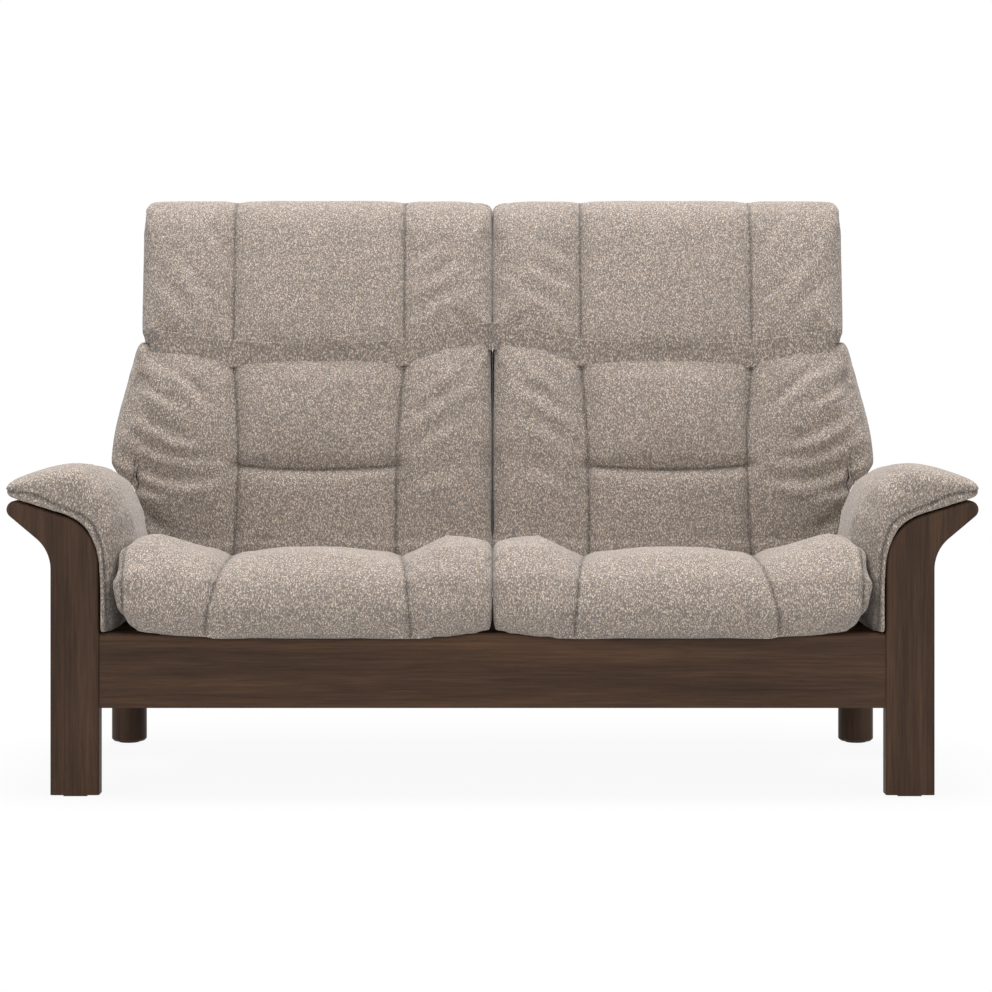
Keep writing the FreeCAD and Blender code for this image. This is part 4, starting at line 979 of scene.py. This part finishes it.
@dataclass
class ArmPad(SoftGoods):
    """The thick pad over the arm, boxed along its front and outer edge."""

    beside_seat: Span = (-0.47, -0.42)
    under_lean: Span = (0.3, 0.6)
    wood_lean: Span = (0.4, 0.7)
    on_wood: Span = (-0.50, -0.46)
    middle_line: float = 0.70
    drawn_in: float = 0.19
    bulge_up: Span = (0.36, 0.47)
    bulge_in: Span = (-0.70, -0.66)
    pressed: float = 0.005
    crown: Span = (0.50, 0.56)

    def seams(self) -> tuple[Crease, ...]:
        """One seam above the wood, from the outer tip round and down the inner side."""
        line = ((0.90, 0.524), (0.8241, 0.5182), (0.7988, 0.5165), (0.7717, 0.5114), (0.7497, 0.5013),
                (0.7295, 0.4928), (0.7126, 0.4860), (0.694, 0.4776), (0.6771, 0.4641), (0.6686, 0.4488),
                (0.6605, 0.4250), (0.6560, 0.395), (0.6530, 0.34), (0.6515, 0.27))
        return (Crease(line, 0.0014, 0.006, fade=False, stitched=True),)

    def folds(self) -> tuple[Crease, ...]:
        """Faint pulls where the pad bends."""
        drawn = (
            (((0.655, 0.50), (0.640, 0.47), (0.634, 0.43)), 0.0016, 0.010),
            (((0.70, 0.525), (0.665, 0.515), (0.640, 0.49)), 0.0014, 0.011),
            (((0.645, 0.40), (0.632, 0.36), (0.636, 0.31)), 0.0016, 0.010))
        return tuple(Crease(line, depth, width, rise=0.5) for line, depth, width in drawn)

    def room(self, spots: np.ndarray, facing: np.ndarray) -> np.ndarray:
        """Free above, tight beside the seat cushion and on the wood."""
        beside = smooth_step(-facing[:, 0], *END_ON) * smooth_step(-spots[:, 2], *self.beside_seat)
        under = smooth_step(-facing[:, 2], *self.under_lean)
        wood = smooth_step(facing[:, 0], *self.wood_lean) * smooth_step(-spots[:, 2], *self.on_wood)
        front = smooth_step(-facing[:, 1], *END_ON)
        rear = smooth_step(facing[:, 1], *END_ON)
        held = np.maximum(np.maximum(under, wood), rear)
        return self.swell * (1.0 - held) * (1.0 - 0.8 * np.maximum(beside, front))

    def shaped(self, spots: np.ndarray) -> np.ndarray:
        """Its inner bulge is drawn in above the seat."""
        bulge = smooth_step(spots[:, 2], *self.bulge_up) * smooth_step(-spots[:, 0], *self.bulge_in)
        spots[:, 0] += (self.middle_line - spots[:, 0]) * self.drawn_in * bulge
        spots[:, 2] -= self.pressed * smooth_step(spots[:, 2], *self.crown)
        return spots


@dataclass
class NeckGusset:
    """A folded sleeve of cloth that closes the joint between the back and the head section."""

    finish: Material
    size: Place = (0.65, 0.152, 0.052)
    middle: Place = (0.3252, 0.239, 0.772)
    cuts: int = 24

    def build(self) -> None:
        """Makes the sleeve of each seat."""
        for side, turn in (("right", 1.0), ("left", -1.0)):
            self._sleeve(side, turn)

    def _sleeve(self, side: str, turn: float) -> None:
        """One sleeve, bent along the seam."""
        bpy.ops.object.select_all(action="DESELECT")
        bpy.ops.mesh.primitive_cube_add(size=1.0)
        sleeve = bpy.context.active_object
        sleeve.name = f"{side}_neck_gusset"
        bpy.ops.object.mode_set(mode="EDIT")
        bpy.ops.mesh.select_all(action="SELECT")
        bpy.ops.transform.resize(value=self.size)
        bpy.ops.mesh.subdivide(number_cuts=self.cuts)
        bpy.ops.transform.translate(value=(self.middle[0] * turn, *self.middle[1:]))
        bpy.ops.object.mode_set(mode="OBJECT")
        settle(sleeve, follow_neck(rows_of(sleeve, "co"), np.ones(len(sleeve.data.vertices))))
        bpy.ops.object.shade_smooth()
        wear(sleeve, self.finish)
        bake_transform(sleeve)
        log.info("%s: %d faces", sleeve.name, len(sleeve.data.polygons))


@dataclass
class BoardCover(SoftGoods):
    """Cloth stretched over a board, which all but meets its twin if they share the middle.

    The way out is the axis, 0 for x and 1 for y, along which its shown side faces.
    """

    middle: float = 0.00003
    way_out: int = 1

    def room(self, spots: np.ndarray, facing: np.ndarray) -> np.ndarray:
        """Only the cloth that faces out may swell."""
        return self.swell * smooth_step(facing[:, self.way_out], *OUTWARDS)


@dataclass
class PhotoCamera:
    """A level camera in front of the settee, with the horizon above the picture's middle."""

    distance: float = 4.38
    front: float = -0.365
    height: float = 0.743
    focal_pixels: float = 2588.0
    sensor: float = 36.0
    horizon_pixel: float = 358.0
    middle_pixel: float = 492.5
    farthest: float = 60.0

    def build(self) -> None:
        """Makes the camera and gives it to the scene."""
        data = bpy.data.cameras.new("photo_camera")
        data.sensor_width = self.sensor
        data.lens = self.sensor * self.focal_pixels / IMAGE_SIDE
        data.shift_x = (IMAGE_SIDE / 2 - self.middle_pixel) / IMAGE_SIDE
        data.shift_y = (self.horizon_pixel - IMAGE_SIDE / 2) / IMAGE_SIDE
        data.clip_end = self.farthest
        camera = bpy.data.objects.new("photo_camera", data)
        camera.location = (0.0, self.front - self.distance, self.height)
        camera.rotation_euler = (math.radians(90.0), 0.0, 0.0)
        bpy.context.scene.collection.objects.link(camera)
        bpy.context.scene.camera = camera
        log.info("camera at %s, lens %.1f mm", tuple(camera.location), data.lens)


@dataclass(frozen=True)
class Lamp:
    """A soft square lamp that faces a point."""

    name: str
    place: Place
    side: float
    watts: float
    aim: Place

    def build(self) -> None:
        """Makes the lamp."""
        data = bpy.data.lights.new(self.name, "AREA")
        data.size = self.side
        data.energy = self.watts
        lamp = bpy.data.objects.new(self.name, data)
        lamp.location = self.place
        lamp.rotation_euler = (Vector(self.aim) - Vector(self.place)).to_track_quat("-Z", "Y").to_euler()
        bpy.context.scene.collection.objects.link(lamp)


@dataclass
class Studio:
    """A pale floor, a white surround and soft lamps.

    The camera sees the floor as white by the whiteness, and by the rest too beyond the shadow's reach.
    """

    floor_side: float = 16.0
    floor_colour: Colour = (0.5, 0.5, 0.5)
    surround: float = 0.36
    whiteness: float = 0.93
    shadow_reach: float = 1.1
    shadow_fade: float = 0.9
    lamps: tuple[Lamp, ...] = (
        Lamp("top_lamp", (0.0, 0.2, 8.0), 4.0, 1116.0, (0.0, 0.0, 0.4)),
        Lamp("left_lamp", (-3.0, -4.4, 1.6), 2.4, 105.4, (0.0, 0.0, 0.3)),
        Lamp("right_lamp", (3.0, -4.4, 1.6), 2.4, 105.4, (0.0, 0.0, 0.3)),
        Lamp("rear_lamp", (0.0, 4.2, 2.0), 2.6, 55.8, (0.0, 0.0, 0.5)))

    def build(self) -> None:
        """Makes the floor, the surround and the lamps."""
        self._floor()
        self._surround()
        for lamp in self.lamps:
            lamp.build()

    def _floor(self) -> None:
        """A pale floor that the camera sees as white apart from the shadow."""
        bpy.ops.object.select_all(action="DESELECT")
        bpy.ops.mesh.primitive_plane_add(size=self.floor_side, location=(0.0, 0.0, 0.0))
        floor = bpy.context.active_object
        floor.name = "studio_floor"
        pale = Finish("pale_floor")
        pale.surface(Base_Color=self.floor_colour, Roughness=0.9, Specular_IOR_Level=0.1)
        tree = pale.tree
        away = pale.node("ShaderNodeVectorMath", {"operation": "LENGTH"}, {0: pale.place}, "Value")
        far = pale.clamp((away - self.shadow_reach) / self.shadow_fade)
        share = (far * (1.0 - self.whiteness) + self.whiteness) * seen_directly(tree)
        white = pale.node("ShaderNodeEmission", {}, {"Color": (1.0, 1.0, 1.0), "Strength": 1.0})
        both = pale.node("ShaderNodeMixShader", {}, {
            "Fac": share, 1: Socket(tree, pale.shader.outputs[0]), 2: white})
        plug(tree, tree.nodes["Material Output"].inputs["Surface"], both)
        wear(floor, pale.material)

    def _surround(self) -> None:
        """White where the camera sees it or a reflection of it, dimmer as a light."""
        world = bpy.data.worlds.new("white_surround")
        world.use_nodes = True
        tree = world.node_tree
        level = seen_directly(tree) * (1.0 - self.surround) + self.surround
        plug(tree, tree.nodes["Background"].inputs["Color"], (1.0, 1.0, 1.0))
        plug(tree, tree.nodes["Background"].inputs["Strength"], level)
        bpy.context.scene.world = world


def upholstery(wardrobe: Wardrobe) -> "list[SoftGoods | NeckGusset]":
    """The padded pieces of one seat.

    Args:
        wardrobe: the finishes.

    Returns:
        The pieces, not yet built.
    """
    cloth, flat = wardrobe.cloth, wardrobe.flat_cloth
    inner = -0.004  # what is past the middle here is then held flat against it
    return [SeatCushion("seat_cushion", "seat", cloth, swell=0.012, fill=0.8,
                        margins=((inner, -0.001, -0.001), (0.001, 0.0, 0.001))),
            BackCushion("back_cushion", "back", cloth, swell=0.014, fill=0.7,
                        margins=((inner, -0.003, 0.0), (0.003, 0.0, 0.006))),
            HeadCushion("head_cushion", "head", cloth, swell=0.013, fill=0.75,
                        margins=((inner, -0.003, -0.006), (0.002, 0.0, 0.0))),
            ArmPad("arm_pad", "base", cloth, swell=0.008, fill=0.85,
                   margins=((-0.002, -0.002, 0.0), (0.005, 0.002, 0.001))),
            NeckGusset(flat),
            BoardCover("arm_side_panel", "base", flat, "upholstery_back", voxel=0.006, swell=0.002, relax=3,
                       fill=0.95, frames=4, way_out=0),
            BoardCover("back_shell", "back", flat, "upholstery_back", voxel=0.008, swell=0.003, fill=0.9,
                       frames=6, margins=((-0.0065, 0.0, 0.0), (0.002, 0.004, 0.0035))),
            BoardCover("head_shell", "head", flat, "upholstery_back", voxel=0.008, swell=0.003, fill=0.9,
                       frames=6, margins=((-0.0065, 0.0, -0.004), (0.002, 0.004, 0.001)))]


def main() -> None:
    """Builds the settee's look, piece by piece."""
    logging.basicConfig(level=logging.INFO, format="%(message)s")
    bpy.context.scene.view_settings.view_transform = "Standard"
    PhotoCamera().build()
    Studio().build()
    wardrobe = Wardrobe()
    wardrobe.dress_nodes()
    for piece in upholstery(wardrobe):
        piece.build()


if __name__ == "__main__":
    main()
